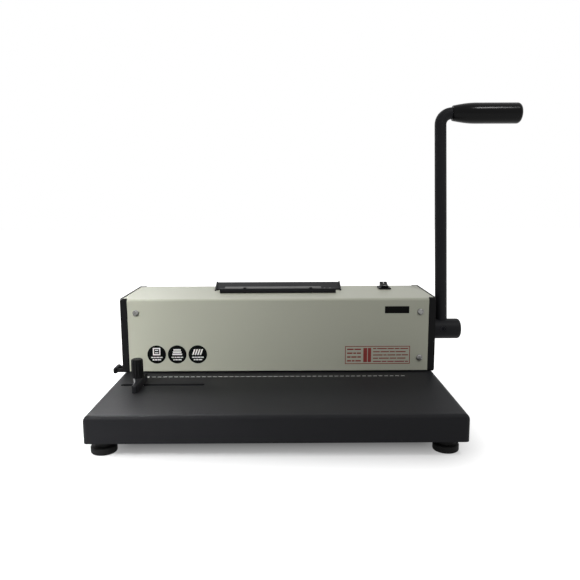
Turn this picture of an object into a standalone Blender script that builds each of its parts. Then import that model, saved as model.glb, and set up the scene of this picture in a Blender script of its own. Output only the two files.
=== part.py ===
"""Coil binding machine: a lever punch with a powered coil inserter, as separate pieces.

Metres, +Z up. The paper table faces -Y and the lever stands on the +X side. Pieces are drawn in a
working frame with x = 0 at the middle of the cover, y = 0 at the cover's front face and z = 0 on
the ground. An empty named machine then moves everything so that the whole object is centred.
"""
import math

import bpy
import bmesh
from mathutils import Vector

# Clearances
GAP = 0.0003
PIN_GAP = 0.00018

# Punch: hole row, pins and plates
HOLE_COUNT = 46
HOLE_PITCH = 0.00625
PIN_RADIUS = 0.0019
PUNCH_Y = 0.011
PAPER_GAP = 0.003
DIE_THICKNESS = 0.008
DIE_DEPTH = 0.024
GUIDE_PLATE_THICKNESS = 0.008
GUIDE_PLATE_DEPTH = 0.0184
STOP_FROM_PUNCH = 0.0045
PIN_TIP_INSIDE = 0.001
CARRIER_HEIGHT = 0.006
CARRIER_DEPTH = 0.007
CARRIER_END = 0.0028
BEAM_DEPTH = 0.014
BEAM_HEIGHT = 0.0157
SPRING_LENGTH = 0.0195

# Guide rods and return springs
ROD_RADIUS = 0.0038
ROD_FROM_LAST_PIN = 0.0092
ROD_LENGTH = 0.062
ROD_CHAMFER = 0.0008
ROD_HOLE_GAP = 0.0003
SPRING_WIRE = 0.0012
SPRING_RADIUS = 0.0050
SPRING_CURLS = 5
SPRING_STEPS_PER_CURL = 9

# Rack and pinion
TOOTH_MODULE = 0.001
PINION_TEETH = 16
PRESSURE_ANGLE = math.radians(25)
ADDENDUM = 0.0009
DEDENDUM = 0.0011
BACKLASH = 0.00016
GEAR_WIDTH = 0.012
GEAR_X = 0.118
RACK_BODY = 0.0086
RACK_FOOT = 0.0085

# Die plate and side frames
DIE_END_INSIDE = 0.001
FRAME_SHEET = 0.0025
WEB_FROM_ROD = 0.0067
FRAME_FLANGE = 0.0145
FRAME_END_GAP = 0.001
FRAME_TOP_GAP = 0.0024

# Base
TABLE_DEPTH = 0.143
BASE_BEHIND_COVER = 0.004
BASE_BESIDE_COVER = 0.0005
SKIRT_HEIGHT = 0.0265
BASE_SHEET = 0.0015
FLOOR_SHEET = 0.0012
SIDE_EDGE_RADIUS = 0.0055
END_EDGE_RADIUS = 0.004

# Feet
FOOT_HEIGHT = 0.015
FOOT_RADIUS = 0.0127
FOOT_EDGE_RADIUS = 0.0117
FOOT_EDGE_HEIGHT = 0.0012
FOOT_DISC_HEIGHT = 0.0072
FOOT_NECK_RADIUS = 0.0088
FOOT_FROM_LEFT_SIDE = 0.0137
FOOT_FROM_RIGHT_SIDE = 0.0177
FOOT_FROM_END = 0.0195
FOOT_RECESS_RADIUS = 0.004
FOOT_RECESS_DEPTH = 0.003
FOOT_STUD_RADIUS = 0.002
FOOT_STUD_ABOVE_FLOOR = 0.0009

# Cover and end covers
COVER_DEPTH = 0.103
COVER_HEIGHT = 0.0862
COVER_SHEET = 0.0012
COVER_FOLD = 0.0025
COVER_ABOVE_TABLE = 0.0019
END_COVER_WIDTH = 0.0077
END_COVER_WALL = 0.0025
END_COVER_RIM = 0.0013
END_COVER_BAND = 0.003
END_COVER_PROUD = 0.0006
END_COVER_ROUND = 0.001

# Cover screws
SCREW_RADIUS = 0.002
SCREW_HEAD_RADIUS = 0.0036
SCREW_HEAD_EDGE_RADIUS = 0.0032
SCREW_HEAD_TOP_RADIUS = 0.0022
SCREW_HEAD_HEIGHT = 0.0016
SCREW_CROSS_REACH = 0.0018
SCREW_CROSS_HALF_WIDTH = 0.00045
SCREW_LENGTH = 0.007
SCREW_HOLE_GAP = 0.0004
SCREW_FROM_COVER_END = 0.0095
SCREW_FROM_COVER_TOP = 0.0157
SCREW_FROM_COVER_BOTTOM = 0.0138

# Drive shaft, bushes and handle
SHAFT_ABOVE_TABLE = 0.043
SHAFT_RADIUS = 0.005
SHAFT_LEFT_END = 0.007
BUSH_WALL = 0.0037
BUSH_FLANGE_RADIUS = 0.012
BUSH_FLANGE = 0.002
HUB_RADIUS = 0.012
HUB_LENGTH = 0.0373
HUB_END_ROUND = 0.004
HUB_END_WALL = 0.006
HUB_SOCKET_FLOOR = 0.0077
ARM_RADIUS = 0.007
ARM_FROM_END_COVER = 0.0156
ARM_BEND_RADIUS = 0.0138
ARM_END_IN_GRIP = 0.066
HANDLE_LENGTH = 0.259
HANDLE_TILT = math.radians(8)
HANDLE_SWING = math.radians(80)
GRIP_LENGTH = 0.0842
GRIP_THIN_RADIUS = 0.0092
GRIP_THICK_RADIUS = 0.01235
GRIP_TAPER_LENGTH = 0.026
GRIP_END_ROUND = 0.005
GRIP_START_CHAMFER = 0.0009
SET_SCREW_RADIUS = 0.003
SET_SCREW_KEY_RADIUS = 0.0015

# Coil trough on the cover
TROUGH_X = -0.001
LIP_FRONT = 0.041
LIP_THICKNESS = 0.004
LIP_HEIGHT = 0.0052
LIP_LENGTH = 0.140
LIP_SCREW_SPREAD = 0.0398
LIP_SCREW_FROM_FRONT = 0.0018
LIP_SCREW_RADIUS = 0.0009
LIP_SCREW_HEAD_RADIUS = 0.0021
LIP_SCREW_EDGE_RADIUS = 0.0019
LIP_SCREW_TOP_RADIUS = 0.001
LIP_SCREW_HEAD_HEIGHT = 0.0012
REST_LENGTH = 0.156
REST_SHEET = 0.0012
REST_SLOPE_DEPTH = 0.0172
REST_HEIGHT = 0.0079
REST_BACK_DEPTH = 0.002
REST_FOOT = 0.007
REST_CHEEK = 0.0015
REST_CHEEK_REACH = 0.006

# Roller and its drive
ROLLER_RADIUS = 0.011
ROLLER_ABOVE_LIP = 0.0004
ROLLER_LENGTH = 0.118
ROLLER_FROM_LIP_END = 0.005
ROLLER_TO_LIP = 0.0008
SPINDLE_RADIUS = 0.003
SLOT_CLEARANCE = 0.0005
SLOT_END_CLEARANCE = 0.0015
PULLEY_WIDTH = 0.009
PULLEY_FROM_SLEEVE = 0.003
PULLEY_RIM = 0.0013
PULLEY_GROOVE_SLOPE = 0.0006
ROLLER_BELT_RADIUS = 0.008
MOTOR_BELT_RADIUS = 0.0064
BELT_RADIUS = 0.0015
BRACKET_SHEET = 0.002
BRACKET_FLANGE = 0.010
BRACKET_HALF_DEPTH = 0.007
BRACKET_BELOW_SPINDLE = 0.008
MOTOR_RADIUS = 0.0185
MOTOR_CAN_RADIUS = 0.016
GEARBOX_LENGTH = 0.022
MOTOR_LENGTH = 0.050
MOTOR_TO_BACK = 0.0033
MOTOR_ABOVE_TABLE = 0.0365
MOTOR_SHAFT_DEPTH = 0.0072
MOTOR_SHAFT_CLEARANCE = 0.001
MOTOR_BRACKET_FOOT = 0.0205

# Switch
SWITCH_FROM_COVER_END = 0.0396
SWITCH_FROM_COVER_BACK = 0.0265
BEZEL_WIDTH = 0.015
BEZEL_DEPTH = 0.021
BEZEL_HEIGHT = 0.0017
SWITCH_WALL = 0.0013
SWITCH_BODY_DEPTH = 0.0145
BEZEL_LIP = 0.0013
SWITCH_RECESS = 0.0095
ROCKER_HALF_LENGTH = 0.008
ROCKER_EDGE = 0.0008
ROCKER_HALF_BOTTOM = 0.004
ROCKER_HEIGHT = 0.0039
ROCKER_DIP = 0.0013
ROCKER_DIP_HALFWAY = 0.0009
ROCKER_DROP = 0.005
ROCKER_TILT = math.radians(12)

# Power inlet
INLET_X = -0.120
INLET_ABOVE_TABLE = 0.0205
INLET_FLANGE_WIDTH = 0.030
INLET_FLANGE_HEIGHT = 0.024
INLET_FLANGE = 0.0025
INLET_WIDTH = 0.0245
INLET_HEIGHT = 0.0172
INLET_WALL = 0.0014
INLET_DEPTH = 0.018
INLET_FLOOR = 0.002
INLET_PIN_WIDTH = 0.002
INLET_PIN_HEIGHT = 0.0036
INLET_PIN_SPREAD = 0.007
INLET_PIN_RECESS = 0.0025
INLET_PIN_LIFT = 0.002

# Chip tray
TRAY_BEFORE_PUNCH = 0.012
TRAY_FROM_BASE_BACK = 0.006
TRAY_SHEET = 0.0012
TRAY_HEIGHT = 0.0135
TRAY_END_ROOM = 0.031
TRAY_SIDE_GAP = 0.0009
TRAY_FRONT_SHEET = 0.0015
TRAY_FRONT_MARGIN = 0.003
TRAY_PULL_REACH = 0.0208
TRAY_PULL_HEIGHT = 0.0072
TRAY_PULL_LENGTH = 0.022
TRAY_PULL_THICKNESS = 0.0044
TRAY_PULL_ROUND = 0.0015
TRAY_PULL_ABOVE_TRAY = 0.0139
TRAY_PULL_LEG_RADIUS = 0.0023
TRAY_PULL_LEG_SPREAD = 0.007
RUNNER_SHEET = 0.0015
RUNNER_LEDGE = 0.009
RUNNER_HEIGHT = 0.0038

# Edge guide
EDGE_GUIDE_FROM_HOLES = 0.0047
EDGE_GUIDE_WIDTH = 0.0125
EDGE_GUIDE_TIP_WIDTH = 0.0058
EDGE_GUIDE_HEIGHT = 0.0083
EDGE_GUIDE_BACK = 0.019
EDGE_GUIDE_STRAIGHT = 0.006
EDGE_GUIDE_FRONT = 0.030
GUIDE_STUD_RADIUS = 0.0025
GUIDE_SLOT_Y = -0.046
GUIDE_SLOT_CLEARANCE = 0.0006
GUIDE_TRAVEL_IN = 0.0694
GUIDE_TRAVEL_OUT = 0.0157
KNOB_RADIUS = 0.0067
KNOB_TOP_RADIUS = 0.0064
KNOB_HEIGHT = 0.020
KNOB_ROUND = 0.0015
NUT_SIZE = 0.010
NUT_THICKNESS = 0.004
STUD_BELOW_NUT = 0.0015

# Fineness of round shapes
ROUND_SIDES = 20
SMALL_SIDES = 12
PIN_SIDES = 6
FILLET_STEPS = 5
ROUND_STEPS = 2
SHARP_ANGLE = math.radians(35)
SAME_PLACE = 0.00001

# Places along x, from the hole row outwards
ROW_HALF = HOLE_PITCH * (HOLE_COUNT - 1) / 2
ROD_X = ROW_HALF + ROD_FROM_LAST_PIN
WEB_X = ROD_X + WEB_FROM_ROD
FRAME_END_X = WEB_X + FRAME_FLANGE
DIE_HALF = FRAME_END_X - DIE_END_INSIDE
COVER_HALF = FRAME_END_X + FRAME_END_GAP
END_COVER_IN = COVER_HALF + GAP
END_COVER_OUT = END_COVER_IN + END_COVER_WIDTH
WING_HALF = END_COVER_OUT - END_COVER_RIM - GAP
BASE_HALF = END_COVER_OUT + BASE_BESIDE_COVER
HUB_X = END_COVER_OUT + 2 * GAP
ARM_X = END_COVER_OUT + ARM_FROM_END_COVER
GRIP_X = ARM_X + ARM_BEND_RADIUS
GRIP_END_X = GRIP_X + GRIP_LENGTH
SWITCH_X = COVER_HALF - SWITCH_FROM_COVER_END

# Places along y
BASE_BACK = COVER_DEPTH + BASE_BEHIND_COVER
BEAM_BACK = PUNCH_Y + BEAM_DEPTH / 2
RACK_FRONT = BEAM_BACK + GAP
PITCH_RADIUS = TOOTH_MODULE * PINION_TEETH / 2
RACK_PITCH_Y = RACK_FRONT + RACK_BODY + DEDENDUM
SHAFT_Y = RACK_PITCH_Y + PITCH_RADIUS
MOTOR_Y = COVER_DEPTH - COVER_SHEET - MOTOR_TO_BACK - MOTOR_RADIUS
SWITCH_Y = COVER_DEPTH - SWITCH_FROM_COVER_BACK
WING_YS = (END_COVER_BAND + GAP, COVER_DEPTH - END_COVER_BAND - GAP)

# Heights
TABLE_Z = FOOT_HEIGHT + SKIRT_HEIGHT
TABLE_UNDERSIDE = TABLE_Z - BASE_SHEET
FLOOR_TOP = FOOT_HEIGHT + FLOOR_SHEET
ON_TABLE_Z = TABLE_Z + GAP
COVER_TOP = TABLE_Z + COVER_HEIGHT
ON_COVER_Z = COVER_TOP + GAP
UNDER_COVER_Z = COVER_TOP - COVER_SHEET - GAP
GUIDE_PLATE_BOTTOM = TABLE_Z + PAPER_GAP
GUIDE_PLATE_TOP = GUIDE_PLATE_BOTTOM + GUIDE_PLATE_THICKNESS
BEAM_BOTTOM = GUIDE_PLATE_TOP + SPRING_LENGTH + GAP
BEAM_TOP = BEAM_BOTTOM + BEAM_HEIGHT
CARRIER_BOTTOM = BEAM_BOTTOM - GAP - CARRIER_HEIGHT
SHAFT_Z = TABLE_Z + SHAFT_ABOVE_TABLE
STROKE = PITCH_RADIUS * HANDLE_SWING
MOTOR_Z = TABLE_Z + MOTOR_ABOVE_TABLE
LIP_TOP = ON_COVER_Z + LIP_HEIGHT

# The roller lies just behind the lip, with its top just above the lip's
ROLLER_Z = LIP_TOP + ROLLER_ABOVE_LIP - ROLLER_RADIUS
ROLLER_REACH = math.sqrt(ROLLER_RADIUS ** 2 - (ON_COVER_Z - ROLLER_Z) ** 2)
ROLLER_Y = LIP_FRONT + LIP_THICKNESS + ROLLER_TO_LIP + ROLLER_REACH
SLOT_HALF = math.sqrt(ROLLER_RADIUS ** 2 - (COVER_TOP - COVER_SHEET - ROLLER_Z) ** 2) + SLOT_CLEARANCE
REST_FRONT = ROLLER_Y + ROLLER_REACH + ROLLER_TO_LIP
LIP_LEFT = TROUGH_X - LIP_LENGTH / 2
SLEEVE_LEFT = LIP_LEFT + ROLLER_FROM_LIP_END
SLEEVE_RIGHT = SLEEVE_LEFT + ROLLER_LENGTH
PULLEY_LEFT = SLEEVE_RIGHT + PULLEY_FROM_SLEEVE
PULLEY_RIGHT = PULLEY_LEFT + PULLEY_WIDTH
BELT_X = (PULLEY_LEFT + PULLEY_RIGHT) / 2
SLOT_LEFT = SLEEVE_LEFT - SLOT_END_CLEARANCE
SLOT_RIGHT = PULLEY_RIGHT + SLOT_END_CLEARANCE
BRACKET_LEFT_X = SLOT_LEFT - SLOT_END_CLEARANCE - BRACKET_SHEET
BRACKET_RIGHT_X = SLOT_RIGHT + SLOT_END_CLEARANCE
MOTOR_X = BRACKET_RIGHT_X + BRACKET_SHEET + GAP

# The edge guide at rest, and the tray
STOP_FACE_X = -ROW_HALF - EDGE_GUIDE_FROM_HOLES
STUD_X = STOP_FACE_X - EDGE_GUIDE_WIDTH / 2
EDGE_GUIDE_TOP = ON_TABLE_Z + EDGE_GUIDE_HEIGHT
NUT_TOP = TABLE_UNDERSIDE - GAP
TRAY_YS = (PUNCH_Y - TRAY_BEFORE_PUNCH, BASE_BACK - TRAY_FROM_BASE_BACK)
TRAY_Y = (TRAY_YS[0] + TRAY_YS[1]) / 2
TRAY_LENGTH = 2 * BASE_HALF - TRAY_END_ROOM
TRAY_BOTTOM = FLOOR_TOP + GAP + RUNNER_SHEET + GAP
TRAY_TOP = TRAY_BOTTOM + TRAY_HEIGHT
TRAY_FRONT_OUT = -(BASE_HALF + GAP + TRAY_FRONT_SHEET)
TRAY_PULL_Z = TRAY_BOTTOM + TRAY_PULL_ABOVE_TRAY
TRAY_PULL_END = TRAY_FRONT_OUT - TRAY_PULL_REACH

# The middle of the whole object
CENTRE_X = (GRIP_END_X + TRAY_PULL_END) / 2
CENTRE_Y = (BASE_BACK - TABLE_DEPTH) / 2


def clear_scene():
    for obj in list(bpy.data.objects):
        bpy.data.objects.remove(obj, do_unlink=True)


def make_material(name, colour, roughness, metallic=0.0):
    material = bpy.data.materials.new(name)
    material.use_nodes = True
    shader = material.node_tree.nodes["Principled BSDF"]
    shader.inputs["Base Color"].default_value = (*colour, 1.0)
    shader.inputs["Roughness"].default_value = roughness
    shader.inputs["Metallic"].default_value = metallic
    material.diffuse_color = (*colour, 1.0)
    return material


def make_empty(name, place, parent=None):
    empty = bpy.data.objects.new(name, None)
    empty.empty_display_size = 0.02
    empty.location = Vector(place)
    empty.parent = parent
    bpy.context.scene.collection.objects.link(empty)
    return empty


def make_piece(name, shape, material, axis):
    """Turn a bmesh in the working frame into an object whose origin is the empty named axis."""
    bmesh.ops.recalc_face_normals(shape, faces=shape.faces)
    bmesh.ops.translate(shape, verts=shape.verts, vec=-origin_of(axis))
    mesh = bpy.data.meshes.new(name)
    shape.to_mesh(mesh)
    shape.free()
    mesh.shade_smooth()
    mesh.set_sharp_from_angle(angle=SHARP_ANGLE)
    mesh.materials.append(material)
    piece = bpy.data.objects.new(name, mesh)
    piece.parent = axis
    bpy.context.scene.collection.objects.link(piece)
    return piece


def origin_of(axis):
    """The place of an axis in the working frame: the machine empty itself is its zero."""
    return axis.location.copy() if axis.parent else Vector((0, 0, 0))


# Shapes, all drawn as closed bodies in a bmesh


def along(axis, a, u, v):
    """A point at distance a along an axis, with the other two coordinates in x, y, z order."""
    return {"x": (a, u, v), "y": (u, a, v), "z": (u, v, a)}[axis]


def add_prism(shape, outline, axis, start, end):
    near = [shape.verts.new(along(axis, start, u, v)) for u, v in outline]
    far = [shape.verts.new(along(axis, end, u, v)) for u, v in outline]
    shape.faces.new(near)
    shape.faces.new(reversed(far))
    for i in range(len(outline)):
        j = (i + 1) % len(outline)
        shape.faces.new((near[i], near[j], far[j], far[i]))


def prism(outline, axis, start, end):
    shape = bmesh.new()
    add_prism(shape, outline, axis, start, end)
    return shape


def add_box(shape, xs, ys, zs):
    outline = [(xs[0], ys[0]), (xs[1], ys[0]), (xs[1], ys[1]), (xs[0], ys[1])]
    add_prism(shape, outline, "z", zs[0], zs[1])


def box(xs, ys, zs):
    shape = bmesh.new()
    add_box(shape, xs, ys, zs)
    return shape


def around(centre, half):
    return (centre - half, centre + half)


def circle(centre, radius, sides):
    turns = [2 * math.pi * (i + 0.5) / sides for i in range(sides)]
    return [(centre[0] + radius * math.cos(turn), centre[1] + radius * math.sin(turn)) for turn in turns]


def arc(centre, radius, start, end, steps=FILLET_STEPS):
    points = []
    for i in range(steps + 1):
        angle = math.radians(start + (end - start) * i / steps)
        points.append((centre[0] + radius * math.cos(angle), centre[1] + radius * math.sin(angle)))
    return points


def round_rectangle(us, vs, radius, steps=FILLET_STEPS):
    outline = arc((us[1] - radius, vs[0] + radius), radius, -90, 0, steps)
    outline += arc((us[1] - radius, vs[1] - radius), radius, 0, 90, steps)
    outline += arc((us[0] + radius, vs[1] - radius), radius, 90, 180, steps)
    outline += arc((us[0] + radius, vs[0] + radius), radius, 180, 270, steps)
    return outline


def add_turned(shape, profile, axis, centre, sides=ROUND_SIDES):
    """Turn (distance along the axis, radius) points. Without an end on the axis it closes as a ring."""
    rows = []
    for a, radius in profile:
        ring = [along(axis, a, u, v) for u, v in circle(centre, radius, sides)]
        rows.append([shape.verts.new(point) for point in (ring if radius > 0 else ring[:1])])
    pairs = list(zip(rows, rows[1:]))
    if profile[0][1] > 0:
        pairs.append((rows[-1], rows[0]))
    for first, second in pairs:
        for i in range(sides):
            j = (i + 1) % sides
            corners = [first[i % len(first)], first[j % len(first)]]
            corners += [second[j % len(second)], second[i % len(second)]]
            shape.faces.new(list(dict.fromkeys(corners)))


def turned(profile, axis, centre, sides=ROUND_SIDES):
    shape = bmesh.new()
    add_turned(shape, profile, axis, centre, sides)
    return shape


def rod(axis, centre, radius, start, end, sides=ROUND_SIDES):
    return prism(circle(centre, radius, sides), axis, start, end)


def swept(path, radius, sides, closed=False):
    """A round tube along a path of points."""
    shape = bmesh.new()
    points = [Vector(point) for point in path]
    count = len(points)
    tangents = []
    for i in range(count):
        before = points[i - 1] if closed or i > 0 else points[0]
        after = points[(i + 1) % count] if closed or i < count - 1 else points[-1]
        tangents.append((after - before).normalized())
    side = tangents[0].orthogonal().normalized()
    rings = []
    for i, (point, tangent) in enumerate(zip(points, tangents)):
        if i > 0:
            side = tangents[i - 1].rotation_difference(tangent) @ side
        other = tangent.cross(side)
        turns = [2 * math.pi * k / sides for k in range(sides)]
        ring = [point + radius * (side * math.cos(t) + other * math.sin(t)) for t in turns]
        rings.append([shape.verts.new(corner) for corner in ring])
    pairs = list(zip(rings, rings[1:])) + ([(rings[-1], rings[0])] if closed else [])
    for first, second in pairs:
        for k in range(sides):
            m = (k + 1) % sides
            shape.faces.new((first[k], first[m], second[m], second[k]))
    if not closed:
        shape.faces.new(rings[0])
        shape.faces.new(reversed(rings[-1]))
    return shape


def strip_outline(points, thickness):
    """The outline of a folded sheet whose middle line runs through the points."""
    line = [Vector(point) for point in points]
    normals = []
    for first, second in zip(line, line[1:]):
        step = (second - first).normalized()
        normals.append(Vector((-step.y, step.x)))
    left, right = [], []
    for i, point in enumerate(line):
        before = normals[max(i - 1, 0)]
        after = normals[min(i, len(normals) - 1)]
        mitre = (before + after).normalized()
        reach = thickness / 2 / mitre.dot(after)
        left.append(tuple(point + mitre * reach))
        right.append(tuple(point - mitre * reach))
    return left + right[::-1]


def combine(piece, shape, operation):
    """Cut a closed shape, drawn in the working frame, out of a piece, or join it on."""
    axis = piece.parent
    tool = make_piece(piece.name + "_tool", shape, piece.data.materials[0], axis)
    modifier = piece.modifiers.new(operation, "BOOLEAN")
    modifier.operation = operation
    modifier.object = tool
    graph = bpy.context.evaluated_depsgraph_get()
    result = bpy.data.meshes.new_from_object(piece.evaluated_get(graph))
    piece.modifiers.clear()
    before = piece.data
    piece.data = result
    bpy.data.objects.remove(tool, do_unlink=True)
    bpy.data.meshes.remove(before)
    result.name = piece.name
    result.set_sharp_from_angle(angle=SHARP_ANGLE)


def cut(piece, shape):
    combine(piece, shape, "DIFFERENCE")


def join(piece, shape):
    combine(piece, shape, "UNION")


def span(side, near, far):
    """The x range from near to far on the left (-1) or right (+1) side."""
    return (near, far) if side > 0 else (-far, -near)


def hole_places():
    return [HOLE_PITCH * i - ROW_HALF for i in range(HOLE_COUNT)]


def hole_row(radius, start, end):
    shape = bmesh.new()
    for x in hole_places():
        add_prism(shape, circle((x, PUNCH_Y), radius, PIN_SIDES), "z", start, end)
    return shape


# Base


def base_rings(inset, top, ends, end_radius):
    """Cross sections of the pan from front to back: its edges are rounded along the sides and the ends."""
    front, back = ends
    places = []
    for i in range(FILLET_STEPS):
        angle = math.pi / 2 * i / (FILLET_STEPS - 1)
        places.append((end_radius * (1 - math.cos(angle)), end_radius * (1 - math.sin(angle))))
    stations = [(front + step, drop) for step, drop in places]
    stations += [(back - step, drop) for step, drop in reversed(places)]
    rings = []
    for y, drop in stations:
        half = BASE_HALF - inset - drop
        radius = SIDE_EDGE_RADIUS - inset - drop
        z = top - drop
        profile = arc((half - radius, z - radius), radius, 0, 90, FILLET_STEPS + 1)
        profile += arc((-half + radius, z - radius), radius, 90, 180, FILLET_STEPS + 1)
        rings.append((y, half, profile))
    return rings


def pan_shape(inset, bottom, top, ends, end_radius):
    shape = bmesh.new()
    rows = []
    for y, half, profile in base_rings(inset, top, ends, end_radius):
        corners = [(half, bottom)] + profile + [(-half, bottom)]
        rows.append([shape.verts.new((x, y, z)) for x, z in corners])
    shape.faces.new(rows[0])
    shape.faces.new(reversed(rows[-1]))
    for first, second in zip(rows, rows[1:]):
        for i in range(len(first)):
            j = (i + 1) % len(first)
            shape.faces.new((first[i], first[j], second[j], second[i]))
    return shape


def make_base_pan(axis, steel):
    outside = pan_shape(0, FOOT_HEIGHT, TABLE_Z, (-TABLE_DEPTH, BASE_BACK), END_EDGE_RADIUS)
    pan = make_piece("base_pan", outside, steel, axis)
    ends = (-TABLE_DEPTH + BASE_SHEET, BASE_BACK - BASE_SHEET)
    below = FOOT_HEIGHT - BASE_SHEET
    cut(pan, pan_shape(BASE_SHEET, below, TABLE_UNDERSIDE, ends, END_EDGE_RADIUS - BASE_SHEET))
    through = (TABLE_UNDERSIDE - BASE_SHEET, TABLE_Z + BASE_SHEET)
    cut(pan, box(around(0, DIE_HALF + GAP), around(PUNCH_Y, DIE_DEPTH / 2 + GAP), through))
    slot_half = GUIDE_STUD_RADIUS + GUIDE_SLOT_CLEARANCE
    slot = arc((STUD_X + GUIDE_TRAVEL_IN, GUIDE_SLOT_Y), slot_half, -90, 90)
    slot += arc((STUD_X - GUIDE_TRAVEL_OUT, GUIDE_SLOT_Y), slot_half, 90, 270)
    cut(pan, prism(slot, "z", *through))
    door = (TRAY_BOTTOM - TRAY_SIDE_GAP, TRAY_TOP + TRAY_SIDE_GAP)
    sides = (TRAY_YS[0] - TRAY_SIDE_GAP, TRAY_YS[1] + TRAY_SIDE_GAP)
    cut(pan, box((-BASE_HALF - BASE_SHEET, -BASE_HALF + 2 * BASE_SHEET), sides, door))
    return pan


def foot_places():
    xs = (("left", -BASE_HALF + FOOT_FROM_LEFT_SIDE), ("right", BASE_HALF - FOOT_FROM_RIGHT_SIDE))
    ys = (("front", -TABLE_DEPTH + FOOT_FROM_END), ("rear", BASE_BACK - FOOT_FROM_END))
    return [(f"foot_{end}_{side}", x, y) for end, y in ys for side, x in xs]


def make_bottom_plate(axis, steel):
    inset = BASE_SHEET + GAP
    ys = (-TABLE_DEPTH + inset, BASE_BACK - inset)
    outline = round_rectangle(around(0, BASE_HALF - inset), ys, END_EDGE_RADIUS, ROUND_STEPS)
    plate = make_piece("bottom_plate", prism(outline, "z", FOOT_HEIGHT, FLOOR_TOP), steel, axis)
    holes = bmesh.new()
    for _, x, y in foot_places():
        hole = circle((x, y), FOOT_STUD_RADIUS + GAP, SMALL_SIDES)
        add_prism(holes, hole, "z", FOOT_HEIGHT - FLOOR_SHEET, FLOOR_TOP + FLOOR_SHEET)
    cut(plate, holes)


def make_feet(axis, rubber):
    top = FOOT_HEIGHT - GAP
    profile = [
        (FOOT_RECESS_DEPTH, 0),
        (FOOT_RECESS_DEPTH, FOOT_RECESS_RADIUS),
        (0, FOOT_RECESS_RADIUS),
        (0, FOOT_EDGE_RADIUS),
        (FOOT_EDGE_HEIGHT, FOOT_RADIUS),
        (FOOT_DISC_HEIGHT - FOOT_EDGE_HEIGHT, FOOT_RADIUS),
        (FOOT_DISC_HEIGHT, FOOT_EDGE_RADIUS),
        (FOOT_DISC_HEIGHT, FOOT_NECK_RADIUS),
        (top, FOOT_NECK_RADIUS),
        (top, FOOT_STUD_RADIUS),
        (FLOOR_TOP + FOOT_STUD_ABOVE_FLOOR, FOOT_STUD_RADIUS),
        (FLOOR_TOP + FOOT_STUD_ABOVE_FLOOR, 0),
    ]
    for name, x, y in foot_places():
        make_piece(name, turned(profile, "z", (x, y)), rubber, axis)


# Punch unit fixed to the frame


def make_die_plate(axis, tool_steel):
    sides = around(PUNCH_Y, DIE_DEPTH / 2)
    shape = box(around(0, DIE_HALF), sides, (TABLE_Z - DIE_THICKNESS, TABLE_Z))
    plate = make_piece("die_plate", shape, tool_steel, axis)
    cut(plate, hole_row(PIN_RADIUS + PIN_GAP, TABLE_Z - 2 * DIE_THICKNESS, TABLE_Z + DIE_THICKNESS))


def make_guide_plate(axis, tool_steel):
    sides = around(PUNCH_Y, GUIDE_PLATE_DEPTH / 2)
    shape = box(around(0, WEB_X - GAP), sides, (GUIDE_PLATE_BOTTOM, GUIDE_PLATE_TOP))
    plate = make_piece("guide_plate", shape, tool_steel, axis)
    holes = hole_row(PIN_RADIUS + PIN_GAP, TABLE_Z, GUIDE_PLATE_TOP + PAPER_GAP)
    for side in (-1, 1):
        add_prism(holes, circle((side * ROD_X, PUNCH_Y), ROD_RADIUS + GAP, ROUND_SIDES), "z",
                  GUIDE_PLATE_BOTTOM + PAPER_GAP, GUIDE_PLATE_TOP + PAPER_GAP)
    cut(plate, holes)
    for side in (-1, 1):
        foot = box(span(side, ROD_X, WEB_X - 2 * GAP), around(PUNCH_Y, GUIDE_PLATE_DEPTH / 2 - GAP),
                   (ON_TABLE_Z, GUIDE_PLATE_BOTTOM + GAP))
        join(plate, foot)


def make_back_stop(axis, steel):
    ys = (PUNCH_Y + STOP_FROM_PUNCH, PUNCH_Y + GUIDE_PLATE_DEPTH / 2)
    shape = box(around(0, ROD_X - GAP), ys, (ON_TABLE_Z, GUIDE_PLATE_BOTTOM - GAP))
    make_piece("back_stop", shape, steel, axis)


def make_guide_rods(axis, steel):
    seat = GUIDE_PLATE_BOTTOM + PAPER_GAP + GAP
    end = seat + ROD_LENGTH
    profile = [(seat, 0), (seat, ROD_RADIUS), (end - ROD_CHAMFER, ROD_RADIUS),
               (end, ROD_RADIUS - ROD_CHAMFER), (end, 0)]
    for side, name in ((-1, "guide_rod_left"), (1, "guide_rod_right")):
        make_piece(name, turned(profile, "z", (side * ROD_X, PUNCH_Y)), steel, axis)


def spring_path(x):
    low = GUIDE_PLATE_TOP + GAP + SPRING_WIRE / 2
    high = BEAM_BOTTOM - GAP - SPRING_WIRE / 2
    count = SPRING_CURLS * SPRING_STEPS_PER_CURL
    points = []
    for i in range(count + 1):
        angle = 2 * math.pi * i / SPRING_STEPS_PER_CURL
        u = SPRING_RADIUS * math.cos(angle)
        v = SPRING_RADIUS * math.sin(angle)
        points.append((x + u, PUNCH_Y + v, low + (high - low) * i / count))
    return points


def make_return_springs(axis, spring_steel):
    rise = (BEAM_BOTTOM - GUIDE_PLATE_TOP - 2 * GAP - SPRING_WIRE) / SPRING_CURLS
    print("return spring: least gap between its curls, m:", round(rise - SPRING_WIRE, 5))
    for side, name in ((-1, "return_spring_left"), (1, "return_spring_right")):
        make_piece(name, swept(spring_path(side * ROD_X), SPRING_WIRE / 2, PIN_SIDES), spring_steel, axis)


# Moving punch beam


def make_punch_beam(axis, steel):
    shape = box(around(0, WEB_X - FRAME_END_GAP), around(PUNCH_Y, BEAM_DEPTH / 2), (BEAM_BOTTOM, BEAM_TOP))
    beam = make_piece("punch_beam", shape, steel, axis)
    holes = bmesh.new()
    for side in (-1, 1):
        hole = circle((side * ROD_X, PUNCH_Y), ROD_RADIUS + ROD_HOLE_GAP, ROUND_SIDES)
        add_prism(holes, hole, "z", BEAM_BOTTOM - GAP, BEAM_TOP + GAP)
    cut(beam, holes)


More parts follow.
